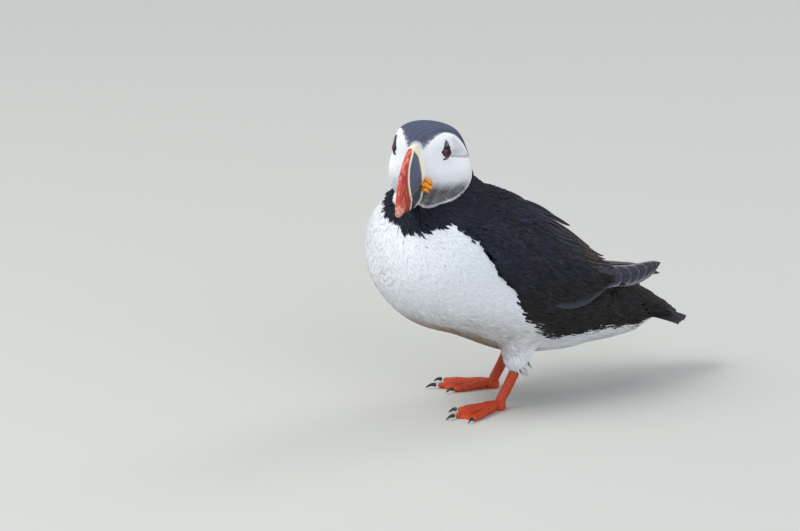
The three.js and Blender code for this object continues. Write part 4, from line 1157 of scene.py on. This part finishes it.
def vane(place, start, end, centre, half, lift, tilt, rings=VANE_RINGS, curve=0.0, thick=0.3):
    """One large feather: a thin bent plate with a raised shaft. place(share, across, lift)
    gives points; centre, half and lift are functions of the share of the vane's length.
    Returns vertices, triangles, and for each vertex its share along and its place across."""
    t, wide = np.array(rings).T[:, :, None]
    c = VANE_COLUMNS[None, :]
    share = start + (end - start) * t
    across = centre(t) + c * half(t) * wide + curve * t * t
    shaft = np.exp(-((c / SHAFT_WIDTH) ** 2)) * 0.28 * (1 - 0.6 * t)
    arch = 0.5 * (1 - c**2)
    barbs = 0.05 * np.cos(26 * np.pi * (t + 0.35 * np.abs(c)))
    top = place(share + 0 * c, across, lift(t) + arch + shaft + barbs - c * tilt / 2)
    bottom = place(share + 0 * c, across, lift(t) + arch - c * tilt / 2 - thick)
    ring_points = np.concatenate([top, bottom[:, ::-1]], axis=1)
    rows, columns = ring_points.shape[:2]
    tip = place(np.array([end]), centre(np.array([1.0])) + curve, lift(np.array([1.0])) + 0.35)
    points = np.vstack([ring_points.reshape(-1, 3), tip.reshape(1, 3)])
    last = (rows - 1) * columns + np.arange(columns)
    after = (rows - 1) * columns + (np.arange(columns) + 1) % columns
    root = np.arange(1, columns - 1)
    triangles = [
        split_quads(grid_faces(rows, columns, wrap=True)),
        np.stack([last, after, np.full(columns, len(points) - 1)], axis=1),
        np.stack([np.zeros(columns - 2, int), root + 1, root], axis=1),
    ]
    on_top = np.arange(columns) < len(VANE_COLUMNS) - 1
    smooth_faces = np.concatenate([np.tile(on_top, 2 * rows - 1), np.zeros(columns - 2, bool)])
    along = np.append(np.repeat(t[:, 0], columns), 1.0)
    placed = np.append(np.tile([*VANE_COLUMNS, *VANE_COLUMNS[::-1]], rows), 0.0)
    return points, (np.vstack(triangles), smooth_faces), along, placed


def vane_colours(along, placed, base, fringe, fringe_tip, tip_colour, gain):
    """Dark vane with a pale fringe that is strongest near the tip."""
    edge = smooth(np.abs(placed), 0.88, 0.96) * fringe * (0.3 + 0.7 * smooth(along, 0.3, 0.9))
    end = smooth(along, 0.955, 1.0) * fringe_tip
    shaft = np.exp(-((placed / SHAFT_WIDTH) ** 2))[:, None]
    return blend(np.asarray(base) * gain * (1 - 0.35 * shaft), tip_colour, np.maximum(edge, end))


class Gathered:
    """Several vanes gathered into one mesh."""

    def __init__(self):
        self.points, self.faces, self.smooth_faces, self.colours = [], [], [], []
        self.count = 0

    def add(self, points, faces, colours):
        self.points.append(points)
        self.faces.append(faces[0] + self.count)
        self.smooth_faces.append(faces[1])
        self.colours.append(colours)
        self.count += len(points)

    def piece(self, name):
        points, faces, colours = (np.vstack(v) for v in (self.points, self.faces, self.colours))
        smooth_faces = np.concatenate(self.smooth_faces)
        return make_piece(name, points, faces, VANE, colours, coat_uv(points, 1), smooth_faces)


PRIMARY_BASE = srgb("#33323f")
PRIMARY_FRINGE = srgb("#a5a2a6")
COVERT_BASE = srgb("#1b1d27")
TERTIAL_BASE = srgb("#232229")
BUFF = srgb("#a08a76")
# pale lavender fringe colour, partly a painted sheen on the scapulars
LAVENDER_SHEEN_FRINGE = srgb("#7d7890")
SLATE_EDGE = srgb("#363a45")
PRIMARY_TIPS = [1, 0.93, 0.872, 0.815, 0.762, 0.708, 0.655]
PRIMARY_ROOT = 0.52  # share of the wing where they begin
PRIMARY_LAYER = 0.72  # height of each over the one below it
PRIMARY_RINGS = [(t, min(1, w * 1.02)) for t, w in VANE_RINGS[:7]]
PRIMARY_RINGS += [(0.87, 0.82), (0.93, 0.64), (0.965, 0.42), (0.988, 0.2)]
primary_reach = profile([[0.5, 0.6], [0.62, 0.68], [0.72, 0.76], [0.82, 0.9], [0.92, 1]])


def add_primaries(made, place):
    """The primaries, the longest one lowest, each with a rim showing past the next."""
    for layer, tip in enumerate(PRIMARY_TIPS):

        def share_at(t, tip=tip):
            return PRIMARY_ROOT + (tip - PRIMARY_ROOT) * t

        def lift(t, share_at=share_at, layer=layer):
            return mix(-1.5, 0, (share_at(t) - 0.63) / 0.37) + layer * PRIMARY_LAYER - 0.1

        def half(t, share_at=share_at):
            return primary_reach(share_at(t)) / 2

        points, faces, along, placed = vane(
            place, PRIMARY_ROOT, tip, half, half, lift, 0, PRIMARY_RINGS
        )
        gain = 1 + 0.08 * rng.normal()
        colours = vane_colours(along, placed, PRIMARY_BASE, 0.7, 0.4, PRIMARY_FRINGE, gain)
        made.add(points, faces, colours)


# Tiers, the hindmost first: count, stretch across, tips at its two ends, length, heights of
# root and tip over the wing's skin, base colour, fringe colour and its strength. Every place
# along or across is a share of the wing's.
TIERS = [
    (6, (0.0, 0.42), (0.56, 0.62), 0.22, (-0.6, 2.2), SLATE_EDGE, PRIMARY_FRINGE, 0.15),
    (6, (0.38, 0.98), (0.645, 0.6), 0.22, (-0.4, 2.9), TERTIAL_BASE, BUFF, 0.75),
    (11, (0.0, 0.62), (0.52, 0.56), 0.16, (-0.3, 2.4), COVERT_BASE, BUFF, 0.25),
    (6, (0.5, 1.0), (0.575, 0.52), 0.17, (-0.2, 3.0), TERTIAL_BASE, BUFF, 0.7),
    (13, (0.0, 0.7), (0.47, 0.5), 0.13, (-0.2, 2.4), COVERT_BASE, BUFF, 0.15),
    (7, (0.58, 1.02), (0.51, 0.45), 0.16, (-0.2, 2.9), COVERT_BASE, BUFF, 0.5),
    # the top tier's lavender fringe is partly painted sheen
    (6, (0.66, 1.02), (0.45, 0.38), 0.16, (-0.2, 2.7), COVERT_BASE, LAVENDER_SHEEN_FRINGE, 0.55),
]


def add_tiers(made, place):
    """The secondaries, tertials and larger coverts, tier over tier like roof tiles."""
    for count, stretch, tips, length, (root_lift, tip_lift), base, fringe, strength in TIERS:
        step = (stretch[1] - stretch[0]) / count
        for i in range(count):
            middle = stretch[0] + step * (i + 0.5) + 0.1 * step * rng.normal()
            tip = mix(tips[0], tips[1], (i + 0.5) / count) + 0.008 * rng.normal()
            reach = length * (1 + 0.06 * rng.normal())
            points, faces, along, placed = vane(
                place, tip - reach, tip,
                lambda t, m=middle: m + 0 * t,
                lambda t, s=step: 0.72 * s + 0 * t,
                lambda t, a=root_lift, b=tip_lift: mix(a, b, t),
                0.9, curve=0.02 * rng.normal(), thick=0.25,
            )
            gain = 1 + 0.12 * rng.normal()
            own_base = mix(SLATE_EDGE, base, smooth(middle, 0.05, 0.12))
            colours = vane_colours(along, placed, own_base, strength, strength, fringe, gain)
            made.add(points, faces, colours)


def grow_wings():
    """Each folded wing's large feathers, gathered into one piece."""
    for name in SIDES:

        def place(share, across, lift, name=name):
            return wing_place(name, share, across, lift)

        made = Gathered()
        add_primaries(made, place)
        add_tiers(made, place)
        piece = made.piece(f"wing_feathers_{name}")
        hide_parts(f"wing_{name}")


grow_wings()

TAIL_BASE = srgb("#181a22")
TAIL_ROOT, TAIL_FALL = [0, 84, 49.3], 0.25  # the fall is in mm for each mm back
TAIL_COUNT, TAIL_LENGTH, TAIL_SPLAY = 16, 46, 1.7
TAIL_RINGS = [
    (0, 0.4), (0.1, 0.7), (0.3, 0.95), (0.55, 1), (0.7, 0.93), (0.8, 0.8), (0.87, 0.66),
    (0.93, 0.48), (0.97, 0.3), (0.99, 0.16),
]
COVERT_ROOT, COVERT_FALL, COVERT_FAN = [0, 88, 69], 0.66, 34
# Rows of tail coverts: where they start behind their root, length, height and count.
TAIL_COVERTS = [(12, 30, 1.0, 9), (8, 27, 1.7, 11), (2, 24, 2.2, 11), (-4, 20, 2.6, 11)]


def tail_place(root, fall, splay):
    """A function that places points of a tail feather turned sideways by splay degrees."""
    turn = math.radians(splay)
    along = np.array([math.sin(turn), math.cos(turn), -fall * math.cos(turn)])
    sideways = np.array([math.cos(turn), -math.sin(turn), 0])
    over = unit(np.array([0, fall, 1.0]))

    def place(distance, across, lift):
        distance, across, lift = (v[..., None] for v in np.broadcast_arrays(distance, across, lift))
        return np.array(root, float) + distance * along + across * sideways + lift * over

    return place


def add_tail_feathers(made):
    """The tail's own feathers in pairs, the middle pair on top."""
    for i in range(TAIL_COUNT):
        side, pair = (-1 if i % 2 else 1), i // 2
        turn = side * TAIL_SPLAY * (pair + 0.5) + 0.5 * rng.normal()
        reach = TAIL_LENGTH - 1.5 * pair - 0.8 * rng.random()
        layer = 2.6 - 0.5 * (pair + (i % 2) / 2)
        points, faces, along, placed = vane(
            tail_place(TAIL_ROOT, TAIL_FALL, turn), 12, 12 + reach,
            lambda t, s=side: 1.4 * s + 0 * t,
            lambda t: 4.3 + 0 * t,
            lambda t, h=layer: h - 3.2 * t**3,
            0.5 * side, TAIL_RINGS,
        )
        gain = 1 + 0.1 * rng.normal()
        colours = vane_colours(along, placed, TAIL_BASE, 0.12, 0.1, PRIMARY_FRINGE, gain)
        made.add(points, faces, colours)


def add_tail_coverts(made):
    """The coverts over the tail's root, row over row in a fan."""
    for start, length, lift, count in TAIL_COVERTS:
        for i in range(count):
            turn = COVERT_FAN * ((i - (count - 1) / 2) / (count - 1)) + 1.5 * rng.normal()
            points, faces, along, placed = vane(
                tail_place(COVERT_ROOT, COVERT_FALL, turn),
                start, start + length + 1.5 * rng.normal(),
                lambda t: 0 * t,
                lambda t: 2.5 + 0 * t,
                lambda t, d=lift, a=turn: mix(-1.5, 0, t) + d - 0.011 * a * a,
                0.6,
            )
            gain = 1 + 0.12 * rng.normal()
            colours = vane_colours(along, placed, COVERT_BASE, 0.15, 0.1, BUFF, gain)
            made.add(points, faces, colours)


def grow_tail():
    made = Gathered()
    add_tail_feathers(made)
    add_tail_coverts(made)
    piece = made.piece("tail_feathers")
    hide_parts("tail")


grow_tail()


# ---------------------------------------------------------------- bill

PLATE_LINE = [
    [19, 22.5], [26.5, 16.6], [32.5, 11.2], [37.6, 4.5], [39.8, -3], [39, -11], [36, -18], [31, -27],
]
MOUTH_LINE = [[6, -9], [24, -9.6], [34, -11.2], [41, -14], [45.5, -19], [46.5, -28]]
SLATE = srgb("#4a5064")
CREAM = srgb("#f1dfc8")
RED = srgb("#b8352e")
ORANGE = srgb("#ae4a1a")
GROOVE = srgb("#5c1c12")
BILL_TIP = srgb("#e8b49c")
RIM = srgb("#efe0c6")
DARK = srgb("#1c1517")
BILL_COLUMNS = 300
BLADE_GROOVES, GROOVE_WIDTH = (3.1, 5.6), 0.9  # in front of the slate plate
RIDGE_PITCH = 0.72
NOSTRIL = (31, -5.2)
TIP_CENTRE = [50.5, -21]


def bump(distance, width):
    """1 in the middle of a band, 0 past half its width, with rounded shoulders."""
    return smooth(1 - np.abs(distance) / (width / 2), 0, 0.45)


def bill_surface():
    """The bill before its relief, ring by ring from its left face round the edge to its right
    one: its points in head space, their (ahead, up) places, the edge's outward directions and
    how near each point is to the edge, from 0 to 1."""
    inner = 1 - (1 - np.linspace(0.02, 0.97, 64)) ** 1.15
    half = [(share, half_width(share)) for share in inner] + [(0.99, 1.22), (1.0, 0.9)]
    rows = half + [(1.0, 0.3), (1.0, -0.3)] + [(share, -wide) for share, wide in reversed(half)]
    share, wide = np.repeat(np.array(rows), BILL_COLUMNS, axis=0).T
    rim = closed_spline(BILL_OUTLINE, np.arange(BILL_COLUMNS) / BILL_COLUMNS) - BILL_CORE
    flat = BILL_CORE + np.tile(rim, (len(rows), 1)) * share[:, None]
    outward = np.tile(unit(rim), (len(rows), 1))
    local = np.stack([wide, -flat[:, 0], flat[:, 1]], axis=1)
    return local, flat, outward, smooth(share, 0.9, 1.0)


def bill_marks(flat, clear):
    """Shares of the bill's markings at (ahead, up) points that stand `clear` mm off the head."""
    ahead, mouth = side_of_line(PLATE_LINE, flat), side_of_line(MOUTH_LINE, flat)
    up = flat[:, 1]
    blade = smooth(ahead, 1.5, 1.9)
    grooves = sum(bump(ahead - place, GROOVE_WIDTH) for place in BLADE_GROOVES)
    grooves = grooves * (smooth(up, 7, 0) * blade)
    slit = flat[:, 0] - NOSTRIL[0]
    over_slit = up - NOSTRIL[1] - 0.03 * slit
    deep = 2.8 + 1.3 * smooth(up, -4, 8) + 2.8 * smooth(up, 9, 14)
    rimmed = smooth(clear, deep + 0.4, deep - 0.1)
    return SimpleNamespace(
        stripe=bump(ahead - 0.75, 1.9),
        blade=blade,
        grooves=grooves,
        orange=blade * smooth(up, 1, -9) * smooth(ahead, 6.6, 5.2),
        ridges=blade * (1 - np.minimum(grooves, 1)) * np.cos(2 * np.pi * ahead / RIDGE_PITCH),
        tip=smooth(np.linalg.norm(flat - TIP_CENTRE, axis=1), 7.5, 2.5),
        gape=np.exp(-((mouth / 0.3) ** 2)),
        lip=np.exp(-(((mouth - 0.55) / 0.22) ** 2)) * (1 - blade) * (1 - rimmed),
        nostril=0.3 * np.exp(-((slit / 3.2) ** 4 + (over_slit / 0.36) ** 2)),
        rimmed=rimmed,
        rim_round=np.sqrt(np.clip(1 - ((clear / deep - 0.5) / 0.68) ** 2, 0, 1)) * rimmed,
    )


def bill_relief(marks, placed):
    """Height of the bill's surface over its smooth form."""
    bare = 1 - marks.rimmed
    relief = 0.32 * marks.stripe * bare - 0.42 * marks.grooves + 0.05 * marks.ridges
    relief = relief * bare + 0.75 * marks.rim_round
    relief -= 0.55 * marks.gape * (1 - 0.6 * marks.rimmed) + 0.5 * marks.nostril
    return relief + (0.03 * waves(placed, 1.5, 31) + 0.05 * waves(placed, 5, 32))


def bill_colours(marks, placed, flat, clear):
    """Slate plate with painted light on its upper part and painted shade low down, red blade with
    orange and pale streaks and painted light and shade on its ridges, cream stripe, rim and lip.
    """
    blade = marks.blade
    colour = np.tile(SLATE, (len(flat), 1)) * (1 + 0.1 * waves(placed, 3, 33))[:, None]
    # painted light on the slate's upper part and painted shade on its lower part
    above = smooth(flat[:, 1] - flat[:, 0] * 0.1, -2, 10)
    colour = blend(colour, SLATE * 1.5, above * 0.35)
    colour = blend(colour, SLATE * 0.45, 0.6 * smooth(flat[:, 1], -4, -16))
    # painted light on the blade's ridges and painted shade in the furrows between them
    red = RED * (1 + 0.06 * waves(placed, 2, 34) + 0.07 * marks.ridges)[:, None]
    colour = blend(colour, red, blade)
    pale = np.clip(waves(placed * [1, 1, 0.3], 1.6, 36) - 0.3, 0, 1) * blade
    colour = blend(colour, BILL_TIP, 0.5 * pale)
    colour = blend(colour, ORANGE, 0.75 * marks.orange)
    colour = blend(colour, GROOVE, 0.8 * np.minimum(marks.grooves, 1))
    mottle = np.clip(0.55 + 0.4 * waves(placed, 1.8, 37), 0, 1)
    colour = blend(colour, BILL_TIP, 0.9 * marks.tip * blade * mottle)
    colour = blend(colour, CREAM, marks.stripe)
    cream = blend(RIM, FACE, 0.85 * smooth(clear, 2.0, 0.9))
    cream = cream * (1 + 0.05 * waves(placed, 1.5, 35))[:, None]
    colour = blend(colour, cream, marks.rimmed)
    colour = blend(colour, CREAM, 0.4 * marks.lip)
    return blend(colour, DARK, 0.85 * np.maximum(marks.gape, marks.nostril))


def bill_arrays():
    """The bill with its relief: vertices (bird's frame), triangles and colours."""
    local, flat, outward, edge = bill_surface()
    placed = from_head(local)
    nearest, normals = nearest_on(skin_bvh, placed)
    clear = np.sum((placed - nearest) * normals, axis=1) - HEAD_DEPTH
    marks = bill_marks(flat, clear)
    relief = bill_relief(marks, placed)
    bare_edge = np.clip(relief, -0.5, 0.45)
    local[:, 0] += np.sign(local[:, 0]) * relief * (1 - edge)
    local[:, 1] -= outward[:, 0] * bare_edge * edge
    local[:, 2] += outward[:, 1] * bare_edge * edge
    points, triangles = closed_form(local.reshape(-1, BILL_COLUMNS, 3))
    colour = bill_colours(marks, placed, flat, clear)
    return from_head(points), triangles, np.vstack([colour, colour[:1], colour[-1:]])


bill_points, bill_triangles, bill_colour = bill_arrays()
bill = make_piece("bill", bill_points, bill_triangles, HORN, bill_colour)
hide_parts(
    "bill_rim", "bill_plate_upper", "bill_plate_lower", "bill_band_upper",
    "bill_band_lower", "bill_blade_upper", "bill_blade_lower",
)


# ---------------------------------------------------------------- eyes and rosettes

LID = srgb("#8e2230")
LID_DARK = srgb("#2c1216")
PLATE = srgb("#2c2c33")
PLATE_HIGHLIGHT = srgb("#70727a")
ROSETTE = srgb("#ef9a1c")
ROSETTE_FURROW_SHADE = srgb("#b95c10")
IRIS = srgb("#2b1a16")
PUPIL = srgb("#060608")
PUPIL_RADIUS, EYE_GAP = 1.5, 0.02


def lattice(rows, columns, place):
    """Points place(down, round) over a closed form with poles at down 0 and 1."""
    down = np.linspace(0, 1, rows + 2)[1:-1][:, None]
    turn = (2 * np.pi * np.arange(columns) / columns)[None, :]
    return closed_form(place(down, turn))


def eyeball(name, side):
    """A glossy ball, brown with a dark pupil that looks along the gaze."""
    axes, centre = eye_axes(side), eye_centre(side)

    def place(down, turn):
        polar, level = np.pi * down, 0 * turn
        x, y = np.sin(polar) * np.cos(turn), np.sin(polar) * np.sin(turn)
        ball = np.stack([x, y, np.cos(polar) + level], axis=-1)
        return centre + (EYE_RADIUS - EYE_GAP) * ball @ axes

    points, triangles = lattice(48, 64, place)
    off_axis = np.linalg.norm(np.cross(points - centre, axes[2]), axis=1)
    colour = blend(IRIS, PUPIL, smooth(off_axis, PUPIL_RADIUS + 0.25, PUPIL_RADIUS))
    piece = make_piece(f"eyeball_{name}", from_head(points), triangles, EYE, colour)
    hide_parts(f"eye_{name}")


# The lids' outer edge and the opening between them, as (degrees round from sideways, radius).
LID_EDGE = [
    (-180, 2.4), (-140, 3.0), (-115, 3.2), (-90, 2.9), (-65, 3.2), (-40, 3.0), (0, 2.4),
    (30, 2.3), (60, 2.6), (90, 3.3), (120, 2.6), (150, 2.3), (180, 2.4),
]
EYE_OPENING = (1.65, 2.1)
LID_AROUND, LID_STEPS = 120, 12


def eyelids(name, side):
    """A beaded ring of skin round the eye, red low down."""
    axes, centre = eye_axes(side), eye_centre(side)
    turn = (2 * np.pi * np.arange(LID_AROUND) / LID_AROUND - np.pi)[:, None]
    angles, radii = np.array(LID_EDGE, float).T
    outer = np.interp(turn, np.radians(angles), radii) * (1 + 0.015 * np.cos(19 * turn))
    wide, tall = EYE_OPENING
    inner = wide * tall / np.hypot(tall * np.cos(turn), wide * np.sin(turn))
    across = np.linspace(0, 1, LID_STEPS)
    loop = np.concatenate([across, across[::-1]])[None, :]
    top = (np.arange(2 * LID_STEPS) < LID_STEPS)[None, :]
    crest = 0.34 * np.exp(-(((loop - 0.8) / 0.17) ** 2)) + 0.18 * np.exp(-((loop / 0.15) ** 2))
    bead = 1 + 0.25 * np.cos(23 * turn)
    height = np.where(top, 3.5 - 0.42 * loop**1.5 + crest * bead, 2.7 - 0.7 * loop)
    radius = inner + (outer - inner) * loop
    ring = np.stack([radius * np.cos(turn), radius * np.sin(turn), height], axis=-1)
    points = (centre + ring @ axes).reshape(-1, 3)
    # the last row of the ring joins the first
    first = np.arange(2 * LID_STEPS)
    after = (first + 1) % (2 * LID_STEPS)
    last = (LID_AROUND - 1) * 2 * LID_STEPS
    closing = np.stack([last + first, last + after, after, first], axis=1)
    quads = np.vstack([grid_faces(LID_AROUND, 2 * LID_STEPS, wrap=True), closing])
    low = 0.3 + 0.7 * smooth(np.sin(turn), 0.35, -0.25)
    red = (smooth(loop, 0.52, 0.66) * smooth(loop, 0.98, 0.86) * low).reshape(-1)
    colour = blend(LID_DARK, LID, red) * (1 + 0.12 * waves(points, 0.9, 41))[:, None]
    piece = make_piece(f"eyelids_{name}", from_head(points), quads, FLESH, colour)
    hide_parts(f"lids_{name}")


# The plate over the eye, as (x, y) points in the eye's frame.
BROW = [
    (-2.35, 1.75), (-1.2, 2.45), (0, 2.7), (1.2, 2.45), (2.35, 1.75), (1.7, 3.8),
    (0.95, 5.5), (0, 7.1), (-0.95, 5.5), (-1.7, 3.8),
]
PLATE_AROUND, PLATE_STEPS = 60, 9


def on_face(side, spots, height):
    """Points over the face at (x, y) spots of the eye's frame, height over the skin."""
    axes, centre = eye_axes(side), eye_centre(side)
    gaze = Vector(axes[2] @ HEAD_AXES)
    starts = from_head(centre + spots @ axes[:2] + axes[2] * 14)
    result = np.empty((len(spots), 3))
    for i, start in enumerate(starts):
        hit, normal, _, _ = skin_bvh.ray_cast(Vector(start), -gaze)
        result[i] = np.array(hit) + np.array(normal) * height[i]
    return result


def eye_plate(side, outline, thick):
    """A horny plate laid on the face: outline is (x, y) points round it in the eye's frame."""
    outline = np.array(outline, float)
    middle = outline.mean(axis=0)
    edge = closed_spline(outline, np.arange(PLATE_AROUND) / PLATE_AROUND)
    outward = np.linspace(0.06, 1, PLATE_STEPS)
    rows = []
    for share in outward:
        spots = middle + (edge - middle) * share
        height = HEAD_DEPTH + thick * np.sqrt(max(0, 1 - share**4)) - 0.25 * share**6
        grain = 0.05 * np.cos(9 * spots[:, 1] + 3 * spots[:, 0])
        rows.append(on_face(side, spots, height + grain * (1 - share)))
    for share in (0.9, 0.1):
        rows.append(on_face(side, middle + (edge - middle) * share, np.zeros(PLATE_AROUND)))
    points, triangles = closed_form(np.array(rows))
    shares = np.append(np.repeat([*outward, 0.9, 0.1], PLATE_AROUND), [0, 0])
    # painted highlight in the middle of each domed plate
    colour = blend(PLATE_HIGHLIGHT, PLATE, smooth(shares, 0.15, 0.75))
    return points, triangles, colour * (1 + 0.15 * waves(points, 1.4, 43))[:, None]


def eye_plates(name, side):
    turns = np.linspace(0, 2 * np.pi, 12, endpoint=False)
    bar_x = -0.6 * side + 2.3 * np.cos(turns)
    bar_y = -4.05 + 0.85 * np.sin(turns) + 0.8 * side * np.cos(turns)
    bar = np.stack([bar_x, bar_y], axis=1)
    for place, outline, thick in (("upper", BROW, 0.75), ("lower", bar, 0.7)):
        points, triangles, colour = eye_plate(side, outline, thick)
        piece = make_piece(f"eye_horn_{place}_{name}", points, triangles, FLESH, colour)
        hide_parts(f"eye_plate_{place}_{name}")


def rosette_folds(y, z):
    """1 on the swellings of the rosette's wrinkled skin and -1 in the furrows between them."""
    return np.cos(7.5 * z + 3.2 * y + 0.8 * np.sin(5 * y)) * smooth(np.hypot(y, z), 0.02, 0.3)


def rosette_axes(side):
    """Rows: the rosette's own axes in head space."""
    c, s = math.cos(ROSETTE_TURN * side), math.sin(ROSETTE_TURN * side)
    return np.array([[c, -s, 0], [s, c, 0], [0, 0, 1]])


def rosette(name, side):
    """The wrinkled yellow skin at the corner of the mouth, with painted shade in its furrows."""
    axes, centre = rosette_axes(side), ROSETTE_CENTRE * [side, 1, 1]

    def place(down, turn):
        polar = np.pi * down
        x, y = np.cos(polar) + 0 * turn, np.sin(polar) * np.cos(turn)
        z = np.sin(polar) * np.sin(turn)
        swell = 1 + 0.1 * rosette_folds(y, z) + 0.02 * np.cos(17 * z + 8 * y)
        return np.stack([x, y, z], axis=-1) * ROSETTE_SIZE * swell[..., None] @ axes + centre

    points, triangles = lattice(70, 110, place)
    _, y, z = ((points - centre) @ axes.T / ROSETTE_SIZE).T
    # painted shade in the furrows between the folds
    furrow_shade = smooth(rosette_folds(y, z), 0.0, -0.8)
    colour = blend(ROSETTE, ROSETTE_FURROW_SHADE, furrow_shade) * (1 + 0.1 * waves(points, 1.0, 45))[:, None]
    piece = make_piece(f"mouth_rosette_{name}", from_head(points), triangles, FLESH, colour)
    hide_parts(f"rosette_{name}")


for side_name, side_sign in SIDES.items():
    eyeball(side_name, side_sign)
    eyelids(side_name, side_sign)
    eye_plates(side_name, side_sign)
    rosette(side_name, side_sign)


# ---------------------------------------------------------------- legs and feet

LEG = srgb("#b33608")
WEB = srgb("#c6410e")
CREASE_SHADE_RED = srgb("#7a1f0e")
CLAW_DARK = srgb("#1d1a1b")
SCUTE_PITCH, SCALE_HEIGHT = 2.3, 0.11  # of the plates down the shank
TOES = ("inner", "middle", "outer")


def leg_piece(side_name):
    """Shank and webbed foot under one skin, with scutes down the shank and fine scales below, and
    painted shade in the hollows between them.
    """
    (x, y), _ = LEGS[side_name]
    shank, foot = f"shank_{side_name}", f"foot_{side_name}"
    ankle = limb_form([[x, y + 5, 12], [x, y + 1, 5], [x, y - 2, 2.6]], lambda t: (2.7, 2.9))
    points, faces = remeshed([node_arrays(shank), node_arrays(foot), ankle], 0.42, 6)
    up = points[:, 2]
    cells = waves(points, 1.7, 51) * 0.5 + waves(points, 1.1, 52) * 0.5
    rows = np.abs(np.sin(np.pi * (up + 0.35 * points[:, 1]) / SCUTE_PITCH)) ** 0.5 - 0.75
    relief = mix(cells, 1.6 * rows + 0.35 * cells, smooth(up, 5, 8))
    _, normals = nearest_on(surface_tree(points, faces), points)
    points = points + normals * (SCALE_HEIGHT * relief * smooth(up, 0.3, 1.0))[:, None]
    points[:, 2] = np.maximum(points[:, 2], 0)
    colour = blend(LEG, WEB, smooth(points[:, 2], 3.2, 1.8))
    # painted shade in the hollows between scutes and scales
    colour = blend(colour, CREASE_SHADE_RED, smooth(relief, -0.1, -0.7) * 0.6)
    piece = make_piece(f"leg_{side_name}", points, faces, LEG_SKIN, colour)
    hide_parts(shank, foot)


def claw_piece(node):
    points, faces = remeshed([node_arrays(node)], 0.16, 4)
    colour = CLAW_DARK * (1 + 0.2 * waves(points, 0.8, 55))[:, None]
    claw = make_piece(f"toe_{node}", points, faces, CLAW, colour)
    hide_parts(node)


for side_name in SIDES:
    leg_piece(side_name)
    for toe in TOES:
        claw_piece(f"claw_{side_name}_{toe}")


# ---------------------------------------------------------------- floor, light and camera

VIEW_AZIMUTH, VIEW_ELEVATION = math.radians(60), math.radians(15)
CAMERA_DISTANCE, CAMERA_LENS = 4.0, 285.7  # metres and millimetres
AIM = Vector((-0.04727, -0.06618, 0.0807))
FLOOR_FRONT, FLOOR_BACK, FLOOR_BEND, FLOOR_TOP, FLOOR_SIDE = -3, 2.5, 1.5, 4.0, 4


def build_floor():
    """A pale floor that rises in a smooth bend far behind the bird."""
    bend = [
        (FLOOR_BACK + FLOOR_BEND * math.sin(a), FLOOR_BEND - FLOOR_BEND * math.cos(a))
        for a in np.linspace(0.05, 1.57, 24)
    ]
    section = [(FLOOR_FRONT, 0), (FLOOR_BACK, 0), *bend, (FLOOR_BACK + FLOOR_BEND, FLOOR_TOP)]
    away = np.array([-math.sin(VIEW_AZIMUTH), math.cos(VIEW_AZIMUTH)])
    beside = np.array([away[1], -away[0]])
    points = [
        [*(away * back + beside * side), up]
        for back, up in section
        for side in (-FLOOR_SIDE, FLOOR_SIDE)
    ]
    material, nodes, _ = bare_material("floor")
    set_inputs(nodes["Principled BSDF"], {"Base Color": (0.5, 0.5, 0.48, 1), "Roughness": 0.8})
    mesh = mesh_from("floor", points, grid_faces(len(section), 2))
    mesh.polygons.foreach_set("use_smooth", np.ones(len(section) - 1, dtype=bool))
    add_object("floor", mesh, material)


def area_light(name, place, size, power, colour=(1, 1, 1)):
    """A round soft light at a place in metres, turned to the bird."""
    data = bpy.data.lights.new(name, "AREA")
    data.shape, data.size, data.energy, data.color = "DISK", size, power, colour
    lamp = bpy.data.objects.new(name, data)
    bpy.context.scene.collection.objects.link(lamp)
    lamp.location = place
    target = Vector((0, 0, 0.1))
    lamp.rotation_euler = (target - Vector(place)).to_track_quat("-Z", "Y").to_euler()


def build_light():
    world = bpy.data.worlds.new("soft")
    world.use_nodes = True
    background = world.node_tree.nodes["Background"]
    set_inputs(background, {"Color": (0.9, 0.95, 1.0, 1), "Strength": 0.75})
    bpy.context.scene.world = world
    bpy.context.scene.view_settings.view_transform = "Standard"
    area_light("key", (-0.3, -1.9, 2.3), 1.6, 59, (1.0, 0.98, 0.95))
    area_light("fill", (2.4, -0.2, 1.2), 2.0, 20, (0.92, 0.96, 1.0))
    area_light("rim", (-0.6, 2.0, 1.8), 1.2, 14)


def build_camera():
    """A long lens at the height and bearing that the bird is seen from."""
    data = bpy.data.cameras.new("camera")
    data.sensor_width = 36
    data.lens = CAMERA_LENS
    data.clip_end = 50
    camera = bpy.data.objects.new("camera", data)
    bpy.context.scene.collection.objects.link(camera)
    level = math.cos(VIEW_ELEVATION)
    back = Vector((
        math.sin(VIEW_AZIMUTH) * level, -math.cos(VIEW_AZIMUTH) * level, math.sin(VIEW_ELEVATION),
    ))
    camera.location = AIM + CAMERA_DISTANCE * back
    camera.rotation_euler = back.to_track_quat("Z", "Y").to_euler()
    bpy.context.scene.camera = camera


build_floor()
build_light()
build_camera()
